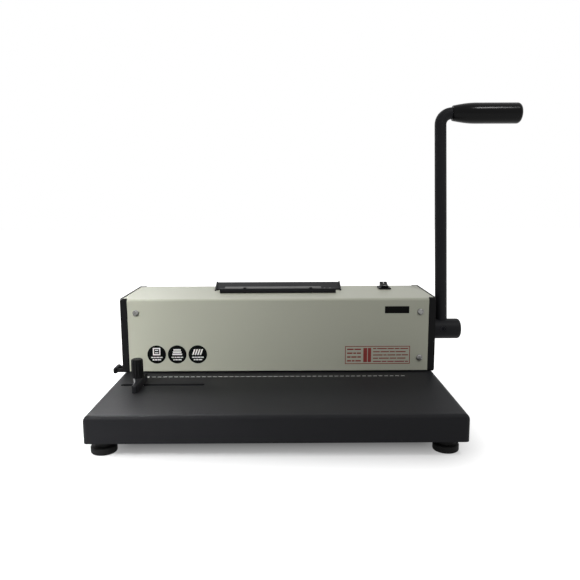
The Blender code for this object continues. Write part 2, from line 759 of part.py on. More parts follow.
def make_punch_gang(axis, tool_steel):
    shape = box(around(0, ROW_HALF + CARRIER_END), around(PUNCH_Y, CARRIER_DEPTH / 2),
                (CARRIER_BOTTOM, BEAM_BOTTOM - GAP))
    gang = make_piece("punch_gang", shape, tool_steel, axis)
    tips = GUIDE_PLATE_BOTTOM + PIN_TIP_INSIDE
    join(gang, hole_row(PIN_RADIUS, tips, CARRIER_BOTTOM + CARRIER_HEIGHT / 2))


def rack_outline():
    """The rack in the y, z plane. A gap between teeth faces the pinion at the height of the shaft."""
    tooth_pitch = math.pi * TOOTH_MODULE
    half = (tooth_pitch / 2 - BACKLASH) / 2
    root = half + DEDENDUM * math.tan(PRESSURE_ANGLE)
    tip = half - ADDENDUM * math.tan(PRESSURE_ANGLE)
    above = math.ceil((STROKE + 2 * ADDENDUM) / tooth_pitch) + 1
    points = [(RACK_FRONT, SHAFT_Z - RACK_FOOT), (RACK_PITCH_Y - DEDENDUM, SHAFT_Z - RACK_FOOT)]
    for k in range(-2, above):
        z = SHAFT_Z + (k + 0.5) * tooth_pitch
        points += [(RACK_PITCH_Y - DEDENDUM, z - root), (RACK_PITCH_Y + ADDENDUM, z - tip)]
        points += [(RACK_PITCH_Y + ADDENDUM, z + tip), (RACK_PITCH_Y - DEDENDUM, z + root)]
    top = SHAFT_Z + above * tooth_pitch
    return points + [(RACK_PITCH_Y - DEDENDUM, top), (RACK_FRONT, top)]


def make_racks(axis, steel):
    for side, name in ((-1, "rack_left"), (1, "rack_right")):
        xs = around(side * GEAR_X, GEAR_WIDTH / 2)
        make_piece(name, prism(rack_outline(), "x", *xs), steel, axis)


# Shaft, pinions and handle


def involute(angle):
    return math.tan(angle) - angle


def pinion_outline():
    """Involute teeth in the y, z plane. One tooth points at the rack, along -y."""
    base = PITCH_RADIUS * math.cos(PRESSURE_ANGLE)
    half = (math.pi * TOOTH_MODULE / 2 - BACKLASH) / 2 / PITCH_RADIUS
    rooted = PITCH_RADIUS - DEDENDUM
    tip = PITCH_RADIUS + ADDENDUM
    flank = [(rooted, half + involute(PRESSURE_ANGLE))]
    for radius in (base, PITCH_RADIUS, tip):
        local = math.acos(min(1.0, base / radius))
        flank.append((radius, half + involute(PRESSURE_ANGLE) - involute(local)))
    points = []
    for k in range(PINION_TEETH):
        middle = math.pi + 2 * math.pi * k / PINION_TEETH
        for radius, offset in flank:
            points.append((radius * math.cos(middle - offset), radius * math.sin(middle - offset)))
        for radius, offset in reversed(flank):
            points.append((radius * math.cos(middle + offset), radius * math.sin(middle + offset)))
    return [(SHAFT_Y + u, SHAFT_Z + v) for u, v in points]


def make_pinions(axis, steel):
    for side, name in ((-1, "pinion_left"), (1, "pinion_right")):
        xs = around(side * GEAR_X, GEAR_WIDTH / 2)
        pinion = make_piece(name, prism(pinion_outline(), "x", *xs), steel, axis)
        bore = rod("x", (SHAFT_Y, SHAFT_Z), SHAFT_RADIUS + GAP, xs[0] - GEAR_WIDTH, xs[1] + GEAR_WIDTH)
        cut(pinion, bore)


def make_drive_shaft(axis, steel):
    left = -(WEB_X + FRAME_SHEET + SHAFT_LEFT_END)
    right = HUB_X + HUB_LENGTH - HUB_END_WALL - GAP
    make_piece("drive_shaft", rod("x", (SHAFT_Y, SHAFT_Z), SHAFT_RADIUS, left, right), steel, axis)


def make_bushes(axis, bronze):
    bore = SHAFT_RADIUS + GAP
    outside = SHAFT_RADIUS + BUSH_WALL
    for side, name in ((-1, "bush_left"), (1, "bush_right")):
        inner = side * (WEB_X - GAP)
        flange = side * (WEB_X - GAP - BUSH_FLANGE)
        outer = side * (WEB_X + FRAME_SHEET + GAP)
        profile = [(flange, bore), (flange, BUSH_FLANGE_RADIUS), (inner, BUSH_FLANGE_RADIUS),
                   (inner, outside), (outer, outside), (outer, bore)]
        make_piece(name, turned(profile, "x", (SHAFT_Y, SHAFT_Z)), bronze, axis)


def make_handle_hub(axis, paint):
    end = HUB_X + HUB_LENGTH
    bore = SHAFT_RADIUS + GAP
    floor = end - HUB_END_WALL
    rounded = arc((end - HUB_END_ROUND, HUB_RADIUS - HUB_END_ROUND), HUB_END_ROUND, 90, 0)
    profile = [(floor, 0), (floor, bore), (HUB_X, bore), (HUB_X, HUB_RADIUS)] + rounded + [(end, 0)]
    hub = make_piece("handle_hub", turned(profile, "x", (SHAFT_Y, SHAFT_Z)), paint, axis)
    socket = (SHAFT_Z + HUB_SOCKET_FLOOR, SHAFT_Z + 2 * HUB_RADIUS)
    cut(hub, rod("z", (ARM_X, SHAFT_Y), ARM_RADIUS + GAP, *socket))
    cut(hub, rod("y", (ARM_X, SHAFT_Z), SET_SCREW_RADIUS + GAP,
                 SHAFT_Y - 2 * HUB_RADIUS, SHAFT_Y, SMALL_SIDES))
    hub.rotation_euler.x = -HANDLE_TILT


def make_set_screw(axis, steel):
    ys = (SHAFT_Y - HUB_RADIUS + 2 * GAP, SHAFT_Y - SHAFT_RADIUS - GAP)
    place = (ARM_X, SHAFT_Z)
    screw = make_piece("hub_set_screw", rod("y", place, SET_SCREW_RADIUS, *ys, SMALL_SIDES), steel, axis)
    cut(screw, rod("y", place, SET_SCREW_KEY_RADIUS, ys[0] - GAP, (ys[0] + ys[1]) / 2, PIN_SIDES))
    screw.rotation_euler.x = -HANDLE_TILT


def make_handle_arm(axis, paint):
    foot = SHAFT_Z + HUB_SOCKET_FLOOR + GAP
    top = SHAFT_Z + HANDLE_LENGTH
    bend = arc((ARM_X + ARM_BEND_RADIUS, top - ARM_BEND_RADIUS), ARM_BEND_RADIUS, 180, 90, 2 * FILLET_STEPS)
    line = [(ARM_X, foot), (ARM_X, SHAFT_Z + HUB_RADIUS)] + bend + [(GRIP_X + ARM_END_IN_GRIP, top)]
    path = [(x, SHAFT_Y, z) for x, z in line]
    arm = make_piece("handle_arm", swept(path, ARM_RADIUS, ROUND_SIDES), paint, axis)
    arm.rotation_euler.x = -HANDLE_TILT


def make_handle_grip(axis, plastic):
    bore = ARM_RADIUS + GAP
    floor = GRIP_X + ARM_END_IN_GRIP + GAP
    thick_from = GRIP_X + GRIP_TAPER_LENGTH
    start = GRIP_X + GAP
    round_centre = (GRIP_END_X - GRIP_END_ROUND, GRIP_THICK_RADIUS - GRIP_END_ROUND)
    swell = GRIP_THICK_RADIUS - GRIP_THIN_RADIUS
    profile = [(floor, 0), (floor, bore), (start, bore), (start, GRIP_THIN_RADIUS - GRIP_START_CHAMFER / 2)]
    profile.append((start + GRIP_START_CHAMFER, GRIP_THIN_RADIUS))
    for i in range(1, FILLET_STEPS + 1):
        t = i / FILLET_STEPS
        x = GRIP_X + (thick_from - GRIP_X) * t
        profile.append((x, GRIP_THIN_RADIUS + swell * math.sin(t * math.pi / 2)))
    profile += arc(round_centre, GRIP_END_ROUND, 90, 0) + [(GRIP_END_X, 0)]
    centre = (SHAFT_Y, SHAFT_Z + HANDLE_LENGTH)
    grip = make_piece("handle_grip", turned(profile, "x", centre), plastic, axis)
    grip.rotation_euler.x = -HANDLE_TILT


# Frame and covers


def make_side_frames(axis, steel):
    ys = (COVER_SHEET + GAP, COVER_DEPTH - COVER_SHEET - GAP)
    zs = (ON_TABLE_Z, COVER_TOP - COVER_SHEET - FRAME_TOP_GAP)
    inside = (ys[0] + FRAME_SHEET, ys[1] - FRAME_SHEET)
    for side, name in ((-1, "side_frame_left"), (1, "side_frame_right")):
        frame = make_piece(name, box(span(side, WEB_X, FRAME_END_X), ys, zs), steel, axis)
        hollow = span(side, WEB_X + FRAME_SHEET, FRAME_END_X + FRAME_SHEET)
        cut(frame, box(hollow, inside, (zs[0] + FRAME_SHEET, zs[1] + FRAME_SHEET)))
        through = span(side, WEB_X - FRAME_SHEET, FRAME_END_X)
        cut(frame, rod("x", (SHAFT_Y, SHAFT_Z), SHAFT_RADIUS + BUSH_WALL + GAP, *through))
        for _, x, z in cover_screw_places(side):
            cut(frame, rod("y", (x, z), SCREW_RADIUS + SCREW_HOLE_GAP, 0, inside[0] + GAP, SMALL_SIDES))


def cover_screw_places(side):
    name = "left" if side < 0 else "right"
    x = side * (COVER_HALF - SCREW_FROM_COVER_END)
    low = GUIDE_PLATE_BOTTOM + SCREW_FROM_COVER_BOTTOM
    high = COVER_TOP - SCREW_FROM_COVER_TOP
    return [(f"cover_screw_low_{name}", x, low), (f"cover_screw_top_{name}", x, high)]


def make_cover_screws(axis, plated):
    for side in (-1, 1):
        for name, x, z in cover_screw_places(side):
            top = -GAP - SCREW_HEAD_HEIGHT
            edge = -GAP - SCREW_HEAD_HEIGHT / 2
            profile = [(top, 0), (top, SCREW_HEAD_TOP_RADIUS), (edge, SCREW_HEAD_EDGE_RADIUS),
                       (-GAP, SCREW_HEAD_RADIUS), (-GAP, SCREW_RADIUS),
                       (SCREW_LENGTH, SCREW_RADIUS), (SCREW_LENGTH, 0)]
            screw = make_piece(name, turned(profile, "y", (x, z), SMALL_SIDES), plated, axis)
            depth = (top - SCREW_HEAD_HEIGHT, edge)
            reach, width = SCREW_CROSS_REACH, SCREW_CROSS_HALF_WIDTH
            cut(screw, box(around(x, reach), depth, around(z, width)))
            cut(screw, box(around(x, width), depth, around(z, reach)))


def cover_outline(low_front, low_back):
    """The folded sheet in the y, z plane, open at the bottom."""
    inner = COVER_FOLD - COVER_SHEET
    front = (COVER_FOLD, COVER_TOP - COVER_FOLD)
    back = (COVER_DEPTH - COVER_FOLD, COVER_TOP - COVER_FOLD)
    outline = [(0, low_front)] + arc(front, COVER_FOLD, 180, 90) + arc(back, COVER_FOLD, 90, 0)
    outline += [(COVER_DEPTH, low_back), (COVER_DEPTH - COVER_SHEET, low_back)]
    return outline + arc(back, inner, 0, 90) + arc(front, inner, 90, 180) + [(COVER_SHEET, low_front)]


def make_top_cover(axis, paint):
    outline = cover_outline(TABLE_Z + COVER_ABOVE_TABLE, ON_TABLE_Z)
    cover = make_piece("top_cover", prism(outline, "x", -COVER_HALF, COVER_HALF), paint, axis)
    wings = box(around(0, WING_HALF), WING_YS, (COVER_TOP - COVER_SHEET, COVER_TOP))
    join(cover, wings)
    through = (UNDER_COVER_Z - COVER_SHEET, COVER_TOP + COVER_SHEET)
    cut(cover, box((SLOT_LEFT, SLOT_RIGHT), around(ROLLER_Y, SLOT_HALF), through))
    cut(cover, box(around(SWITCH_X, BEZEL_WIDTH / 2 - BEZEL_LIP + GAP),
                   around(SWITCH_Y, BEZEL_DEPTH / 2 - BEZEL_LIP + GAP), through))
    half = (INLET_WIDTH / 2 + INLET_WALL + GAP, INLET_HEIGHT / 2 + INLET_WALL + GAP)
    cut(cover, box(around(INLET_X, half[0]), (COVER_DEPTH - 2 * COVER_SHEET, COVER_DEPTH + COVER_SHEET),
                   around(TABLE_Z + INLET_ABOVE_TABLE, half[1])))
    for side in (-1, 1):
        for _, x, z in cover_screw_places(side):
            hole = SCREW_RADIUS + SCREW_HOLE_GAP
            cut(cover, rod("y", (x, z), hole, -COVER_SHEET, 2 * COVER_SHEET, SMALL_SIDES))
        place = (TROUGH_X + side * LIP_SCREW_SPREAD, LIP_FRONT + LIP_SCREW_FROM_FRONT)
        cut(cover, rod("z", place, LIP_SCREW_RADIUS + GAP, *through, SMALL_SIDES))


def make_end_covers(axis, plastic):
    ys = (0, COVER_DEPTH)
    zs = (ON_TABLE_Z, COVER_TOP + END_COVER_PROUD)
    inner_ys = (END_COVER_WALL, COVER_DEPTH - END_COVER_WALL)
    inner_zs = (zs[0] + END_COVER_WALL, UNDER_COVER_Z - END_COVER_WALL)
    wing_ys = (WING_YS[0] - GAP, WING_YS[1] + GAP)
    for side, name in ((-1, "end_cover_left"), (1, "end_cover_right")):
        outline = round_rectangle(ys, zs, COVER_FOLD)
        shape = prism(outline, "x", *span(side, END_COVER_IN, END_COVER_OUT))
        round_end_edges(shape, side * END_COVER_OUT)
        cover = make_piece(name, shape, plastic, axis)
        cut(cover, box(span(side, END_COVER_IN - GAP, END_COVER_OUT - END_COVER_WALL), inner_ys, inner_zs))
        wing = span(side, END_COVER_IN - GAP, WING_HALF + GAP)
        cut(cover, box(wing, wing_ys, (UNDER_COVER_Z, zs[1] + GAP)))
        if side > 0:
            hole = (END_COVER_IN, END_COVER_OUT + END_COVER_WALL)
            cut(cover, rod("x", (SHAFT_Y, SHAFT_Z), SHAFT_RADIUS + END_COVER_WALL, *hole))


def round_end_edges(shape, x):
    """Round the rim of the face that lies at x."""
    rim = [edge for edge in shape.edges if all(abs(vert.co.x - x) < SAME_PLACE for vert in edge.verts)]
    bmesh.ops.bevel(shape, geom=rim, offset=END_COVER_ROUND, segments=ROUND_STEPS, profile=0.5,
                    affect="EDGES")


# Coil trough


def make_coil_lip(axis, paint):
    ys = (LIP_FRONT, LIP_FRONT + LIP_THICKNESS)
    shape = box((LIP_LEFT, LIP_LEFT + LIP_LENGTH), ys, (ON_COVER_Z, LIP_TOP))
    lip = make_piece("coil_lip", shape, paint, axis)
    for side in (-1, 1):
        place = (TROUGH_X + side * LIP_SCREW_SPREAD, LIP_FRONT + LIP_SCREW_FROM_FRONT)
        cut(lip, rod("z", place, LIP_SCREW_RADIUS + GAP, COVER_TOP, LIP_TOP + LIP_HEIGHT, SMALL_SIDES))


def make_lip_screws(axis, plated):
    seat = LIP_TOP + GAP
    top = seat + LIP_SCREW_HEAD_HEIGHT
    tip = UNDER_COVER_Z - COVER_SHEET
    profile = [(tip, 0), (tip, LIP_SCREW_RADIUS), (seat, LIP_SCREW_RADIUS), (seat, LIP_SCREW_HEAD_RADIUS),
               (seat + LIP_SCREW_HEAD_HEIGHT / 2, LIP_SCREW_EDGE_RADIUS),
               (top, LIP_SCREW_TOP_RADIUS), (top, 0)]
    for side, name in ((-1, "lip_screw_left"), (1, "lip_screw_right")):
        place = (TROUGH_X + side * LIP_SCREW_SPREAD, LIP_FRONT + LIP_SCREW_FROM_FRONT)
        make_piece(name, turned(profile, "z", place, SMALL_SIDES), plated, axis)


def make_coil_rest(axis, paint):
    low = ON_COVER_Z + REST_SHEET / 2
    ridge = (REST_FRONT + REST_SLOPE_DEPTH, ON_COVER_Z + REST_HEIGHT - REST_SHEET)
    back = ridge[0] + REST_BACK_DEPTH
    line = [(REST_FRONT + REST_SHEET / 2, low), ridge, (back, low), (back - REST_FOOT, low)]
    xs = around(TROUGH_X, REST_LENGTH / 2)
    inner = (xs[0] + REST_CHEEK / 2, xs[1] - REST_CHEEK / 2)
    rest = make_piece("coil_rest", prism(strip_outline(line, REST_SHEET), "x", *inner), paint, axis)
    front = REST_FRONT - REST_CHEEK_REACH
    top = ON_COVER_Z + REST_HEIGHT + GAP
    cheek = [(front, ON_COVER_Z), (back + REST_SHEET, ON_COVER_Z), (ridge[0] + REST_SHEET, top),
             (ridge[0] - REST_SHEET, top), (front, ON_COVER_Z + REST_SHEET)]
    for x in (xs[0], xs[1] - REST_CHEEK):
        join(rest, prism(cheek, "x", x, x + REST_CHEEK))


# Roller and its drive


def make_roller(axis, rubber, steel, plastic):
    centre = (ROLLER_Y, ROLLER_Z)
    ends = (BRACKET_LEFT_X + GAP, BRACKET_RIGHT_X + BRACKET_SHEET - GAP)
    make_piece("roller_spindle", rod("x", centre, SPINDLE_RADIUS, *ends, SMALL_SIDES), steel, axis)
    bore = SPINDLE_RADIUS + GAP
    sleeve = [(SLEEVE_LEFT, bore), (SLEEVE_LEFT, ROLLER_RADIUS),
              (SLEEVE_RIGHT, ROLLER_RADIUS), (SLEEVE_RIGHT, bore)]
    make_piece("roller_sleeve", turned(sleeve, "x", centre), rubber, axis)
    profile = [(PULLEY_LEFT, bore)] + pulley_rim(ROLLER_BELT_RADIUS) + [(PULLEY_RIGHT, bore)]
    make_piece("roller_pulley", turned(profile, "x", centre), plastic, axis)


def pulley_rim(belt_radius):
    """The two flanges of a pulley and the groove that holds the belt between them."""
    rim = belt_radius + PULLEY_RIM
    groove = belt_radius - BELT_RADIUS - GAP
    half = BELT_RADIUS + GAP
    wide = half + PULLEY_GROOVE_SLOPE
    return [(PULLEY_LEFT, rim), (BELT_X - wide, rim), (BELT_X - half, groove),
            (BELT_X + half, groove), (BELT_X + wide, rim), (PULLEY_RIGHT, rim)]


def make_motor_pulley(axis, plastic):
    end = MOTOR_X + MOTOR_SHAFT_DEPTH
    profile = [(PULLEY_LEFT, 0)] + pulley_rim(MOTOR_BELT_RADIUS)
    profile += [(PULLEY_RIGHT, SPINDLE_RADIUS), (end, SPINDLE_RADIUS), (end, 0)]
    make_piece("motor_pulley", turned(profile, "x", (MOTOR_Y, MOTOR_Z)), plastic, axis)


def make_roller_brackets(axis, steel):
    ys = around(ROLLER_Y, BRACKET_HALF_DEPTH)
    bottom = ROLLER_Z - BRACKET_BELOW_SPINDLE
    places = (("roller_bracket_left", BRACKET_LEFT_X, -1), ("roller_bracket_right", BRACKET_RIGHT_X, 1))
    for name, x, side in places:
        wall = (x, x + BRACKET_SHEET)
        reach = (x - BRACKET_FLANGE, wall[1]) if side < 0 else (x, wall[1] + BRACKET_FLANGE)
        outer, inner = (wall[0], wall[1]) if side < 0 else (wall[1], wall[0])
        far = reach[0] if side < 0 else reach[1]
        under = UNDER_COVER_Z - BRACKET_SHEET
        outline = [(inner, bottom), (inner, UNDER_COVER_Z), (far, UNDER_COVER_Z), (far, under),
                   (outer, under), (outer, bottom)]
        bracket = make_piece(name, prism(outline, "y", *ys), steel, axis)
        through = (wall[0] - GAP, wall[1] + GAP)
        cut(bracket, rod("x", (ROLLER_Y, ROLLER_Z), SPINDLE_RADIUS + GAP, *through, SMALL_SIDES))


def make_motor(axis, steel):
    end = MOTOR_X + MOTOR_LENGTH
    gearbox = MOTOR_X + GEARBOX_LENGTH
    bore = SPINDLE_RADIUS + GAP
    floor = MOTOR_X + MOTOR_SHAFT_DEPTH + GAP
    profile = [(floor, 0), (floor, bore), (MOTOR_X, bore), (MOTOR_X, MOTOR_RADIUS), (gearbox, MOTOR_RADIUS),
               (gearbox, MOTOR_CAN_RADIUS), (end, MOTOR_CAN_RADIUS), (end, 0)]
    make_piece("motor", turned(profile, "x", (MOTOR_Y, MOTOR_Z)), steel, axis)


def make_motor_bracket(axis, steel):
    x = BRACKET_RIGHT_X
    inner = x + BRACKET_SHEET
    foot = inner + MOTOR_BRACKET_FOOT
    top = MOTOR_Z + MOTOR_RADIUS
    outline = [(x, ON_TABLE_Z), (foot, ON_TABLE_Z), (foot, ON_TABLE_Z + BRACKET_SHEET),
               (inner, ON_TABLE_Z + BRACKET_SHEET), (inner, top), (x, top)]
    bracket = make_piece("motor_bracket", prism(outline, "y", *around(MOTOR_Y, MOTOR_RADIUS)), steel, axis)
    hole = SPINDLE_RADIUS + MOTOR_SHAFT_CLEARANCE
    cut(bracket, rod("x", (MOTOR_Y, MOTOR_Z), hole, x - GAP, inner + GAP, SMALL_SIDES))


def make_drive_belt(axis, rubber):
    roller = Vector((ROLLER_Y, ROLLER_Z))
    motor = Vector((MOTOR_Y, MOTOR_Z))
    reach = motor - roller
    aim = math.atan2(reach.y, reach.x)
    lean = math.acos((ROLLER_BELT_RADIUS - MOTOR_BELT_RADIUS) / reach.length)
    line = []
    for centre, radius, start, end in (
        (roller, ROLLER_BELT_RADIUS, aim + lean, aim + 2 * math.pi - lean),
        (motor, MOTOR_BELT_RADIUS, aim - lean, aim + lean),
    ):
        line += arc(centre, radius, math.degrees(start), math.degrees(end), 2 * FILLET_STEPS)
    path = [(BELT_X, y, z) for y, z in line]
    make_piece("drive_belt", swept(path, BELT_RADIUS, PIN_SIDES, closed=True), rubber, axis)


# Switch and inlet


def make_switch_body(axis, plastic):
    bezel = round_rectangle(around(SWITCH_X, BEZEL_WIDTH / 2), around(SWITCH_Y, BEZEL_DEPTH / 2),
                            SWITCH_WALL, ROUND_STEPS)
    shape = prism(bezel, "z", ON_COVER_Z, ON_COVER_Z + BEZEL_HEIGHT)
    body = make_piece("switch_body", shape, plastic, axis)
    half_x = BEZEL_WIDTH / 2 - BEZEL_LIP
    half_y = BEZEL_DEPTH / 2 - BEZEL_LIP
    join(body, box(around(SWITCH_X, half_x), around(SWITCH_Y, half_y),
                   (ON_COVER_Z - SWITCH_BODY_DEPTH, ON_COVER_Z + BEZEL_HEIGHT / 2)))
    cut(body, box(around(SWITCH_X, half_x - SWITCH_WALL), around(SWITCH_Y, half_y - SWITCH_WALL),
                  (ON_COVER_Z - SWITCH_RECESS, ON_COVER_Z + 2 * BEZEL_HEIGHT)))


def make_switch_rocker(axis, plastic):
    y, z = origin_of(axis).yz
    half = ROCKER_HALF_LENGTH
    low = half - ROCKER_EDGE
    foot = ROCKER_HALF_BOTTOM
    halfway = (half / 2, ROCKER_HEIGHT - ROCKER_DIP_HALFWAY)
    outline = [(-half, ROCKER_HEIGHT), (-low, -ROCKER_DIP), (-foot, -ROCKER_DROP), (foot, -ROCKER_DROP),
               (low, -ROCKER_DIP), (half, ROCKER_HEIGHT), halfway, (0, ROCKER_HEIGHT - ROCKER_DIP),
               (-halfway[0], halfway[1])]
    wide = BEZEL_WIDTH / 2 - BEZEL_LIP - SWITCH_WALL - GAP
    shape = prism([(y + u, z + v) for u, v in outline], "x", *around(SWITCH_X, wide))
    rocker = make_piece("switch_rocker", shape, plastic, axis)
    rocker.rotation_euler.x = ROCKER_TILT


def make_power_inlet(axis, plastic):
    z = TABLE_Z + INLET_ABOVE_TABLE
    face = COVER_DEPTH + GAP
    front = face + INLET_FLANGE
    half_x = INLET_WIDTH / 2
    half_z = INLET_HEIGHT / 2
    flange = round_rectangle(around(INLET_X, INLET_FLANGE_WIDTH / 2), around(z, INLET_FLANGE_HEIGHT / 2),
                             INLET_WALL * 2, ROUND_STEPS)
    inlet = make_piece("power_inlet", prism(flange, "y", face, front), plastic, axis)
    back = front - INLET_DEPTH - INLET_FLOOR
    body_xs = around(INLET_X, half_x + INLET_WALL)
    join(inlet, box(body_xs, (back, face + INLET_FLANGE / 2), around(z, half_z + INLET_WALL)))
    cut(inlet, box(around(INLET_X, half_x), (front - INLET_DEPTH, front + INLET_FLANGE), around(z, half_z)))
    pin_ys = (back + INLET_FLOOR / 2, front - INLET_PIN_RECESS)
    for x, lift in ((-INLET_PIN_SPREAD, 0), (0, INLET_PIN_LIFT * 2), (INLET_PIN_SPREAD, 0)):
        xs = around(INLET_X + x, INLET_PIN_WIDTH / 2)
        middle = z - INLET_PIN_LIFT + lift
        join(inlet, box(xs, pin_ys, around(middle, INLET_PIN_HEIGHT / 2)))


# Chip tray


def make_chip_tray(axis, steel):
    ys = TRAY_YS
    left = -(BASE_HALF + GAP)
    shape = box((left - TRAY_FRONT_SHEET / 2, left + TRAY_LENGTH), ys, (TRAY_BOTTOM, TRAY_TOP))
    tray = make_piece("chip_tray", shape, steel, axis)
    inside = (left + TRAY_SHEET, left + TRAY_LENGTH - TRAY_SHEET)
    cut(tray, box(inside, (ys[0] + TRAY_SHEET, ys[1] - TRAY_SHEET),
                  (TRAY_BOTTOM + TRAY_SHEET, TRAY_TOP + TRAY_SHEET)))
    top = TRAY_PULL_Z + TRAY_PULL_HEIGHT / 2
    face = round_rectangle((ys[0] - TRAY_FRONT_MARGIN, ys[1] + TRAY_FRONT_MARGIN),
                           (TRAY_BOTTOM - TRAY_FRONT_SHEET, top), TRAY_FRONT_MARGIN, ROUND_STEPS)
    join(tray, prism(face, "x", TRAY_FRONT_OUT, left))


def make_tray_pull(axis, plastic):
    inner = TRAY_PULL_END + TRAY_PULL_THICKNESS
    sides = around(TRAY_Y, TRAY_PULL_LENGTH / 2)
    outline = round_rectangle((TRAY_PULL_END, inner), sides, TRAY_PULL_ROUND, ROUND_STEPS)
    shape = prism(outline, "z", *around(TRAY_PULL_Z, TRAY_PULL_HEIGHT / 2))
    pull = make_piece("tray_pull", shape, plastic, axis)
    for side in (-1, 1):
        place = (TRAY_Y + side * TRAY_PULL_LEG_SPREAD, TRAY_PULL_Z)
        ends = (inner - TRAY_PULL_THICKNESS / 2, TRAY_FRONT_OUT - GAP)
        join(pull, rod("x", place, TRAY_PULL_LEG_RADIUS, *ends, SMALL_SIDES))


def make_tray_runners(axis, steel):
    floor = FLOOR_TOP + GAP
    xs = (-BASE_HALF + BASE_SHEET + GAP, -BASE_HALF + TRAY_LENGTH)
    places = (("tray_runner_front", TRAY_YS[0], -1), ("tray_runner_rear", TRAY_YS[1], 1))
    for name, tray_side, side in places:
        wall = tray_side + side * GAP
        outer = wall + side * RUNNER_SHEET
        inner = outer - side * RUNNER_LEDGE
        ledge = floor + RUNNER_SHEET
        top = floor + RUNNER_HEIGHT
        outline = [(inner, floor), (outer, floor), (outer, top), (wall, top), (wall, ledge), (inner, ledge)]
        make_piece(name, prism(outline, "x", *xs), steel, axis)


# Edge guide


def make_edge_guide(axis, paint):
    back = GUIDE_SLOT_Y + EDGE_GUIDE_BACK
    straight = GUIDE_SLOT_Y - EDGE_GUIDE_STRAIGHT
    front = GUIDE_SLOT_Y - EDGE_GUIDE_FRONT
    left = STOP_FACE_X - EDGE_GUIDE_WIDTH
    tip = STOP_FACE_X - EDGE_GUIDE_TIP_WIDTH
    outline = [(STOP_FACE_X, front), (STOP_FACE_X, back), (left, back)]
    for i in range(FILLET_STEPS + 1):
        t = i / FILLET_STEPS
        inwards = (tip - left) * (1 - math.cos(t * math.pi / 2))
        outline.append((left + inwards, straight + (front - straight) * t))
    guide = make_piece("edge_guide", prism(outline, "z", ON_TABLE_Z, EDGE_GUIDE_TOP), paint, axis)
    cut(guide, rod("z", (STUD_X, GUIDE_SLOT_Y), GUIDE_STUD_RADIUS + GAP,
                   ON_TABLE_Z - GAP, EDGE_GUIDE_TOP + GAP, ROUND_SIDES))


def make_guide_nut(axis, steel):
    zs = (NUT_TOP - NUT_THICKNESS, NUT_TOP)
    shape = box(around(STUD_X, NUT_SIZE / 2), around(GUIDE_SLOT_Y, NUT_SIZE / 2), zs)
    nut = make_piece("guide_nut", shape, steel, axis)
    cut(nut, rod("z", (STUD_X, GUIDE_SLOT_Y), GUIDE_STUD_RADIUS + GAP, zs[0] - GAP, zs[1] + GAP))


def make_guide_knob(axis, plastic):
    tip = NUT_TOP - NUT_THICKNESS - STUD_BELOW_NUT
    seat = EDGE_GUIDE_TOP + GAP
    top = seat + KNOB_HEIGHT
    rounded = arc((top - KNOB_ROUND, KNOB_TOP_RADIUS - KNOB_ROUND), KNOB_ROUND, 90, 0, ROUND_STEPS)
    profile = [(tip, 0), (tip, GUIDE_STUD_RADIUS), (seat, GUIDE_STUD_RADIUS), (seat, KNOB_RADIUS)]
    profile += rounded + [(top, 0)]
    make_piece("guide_knob", turned(profile, "z", (STUD_X, GUIDE_SLOT_Y)), plastic, axis)


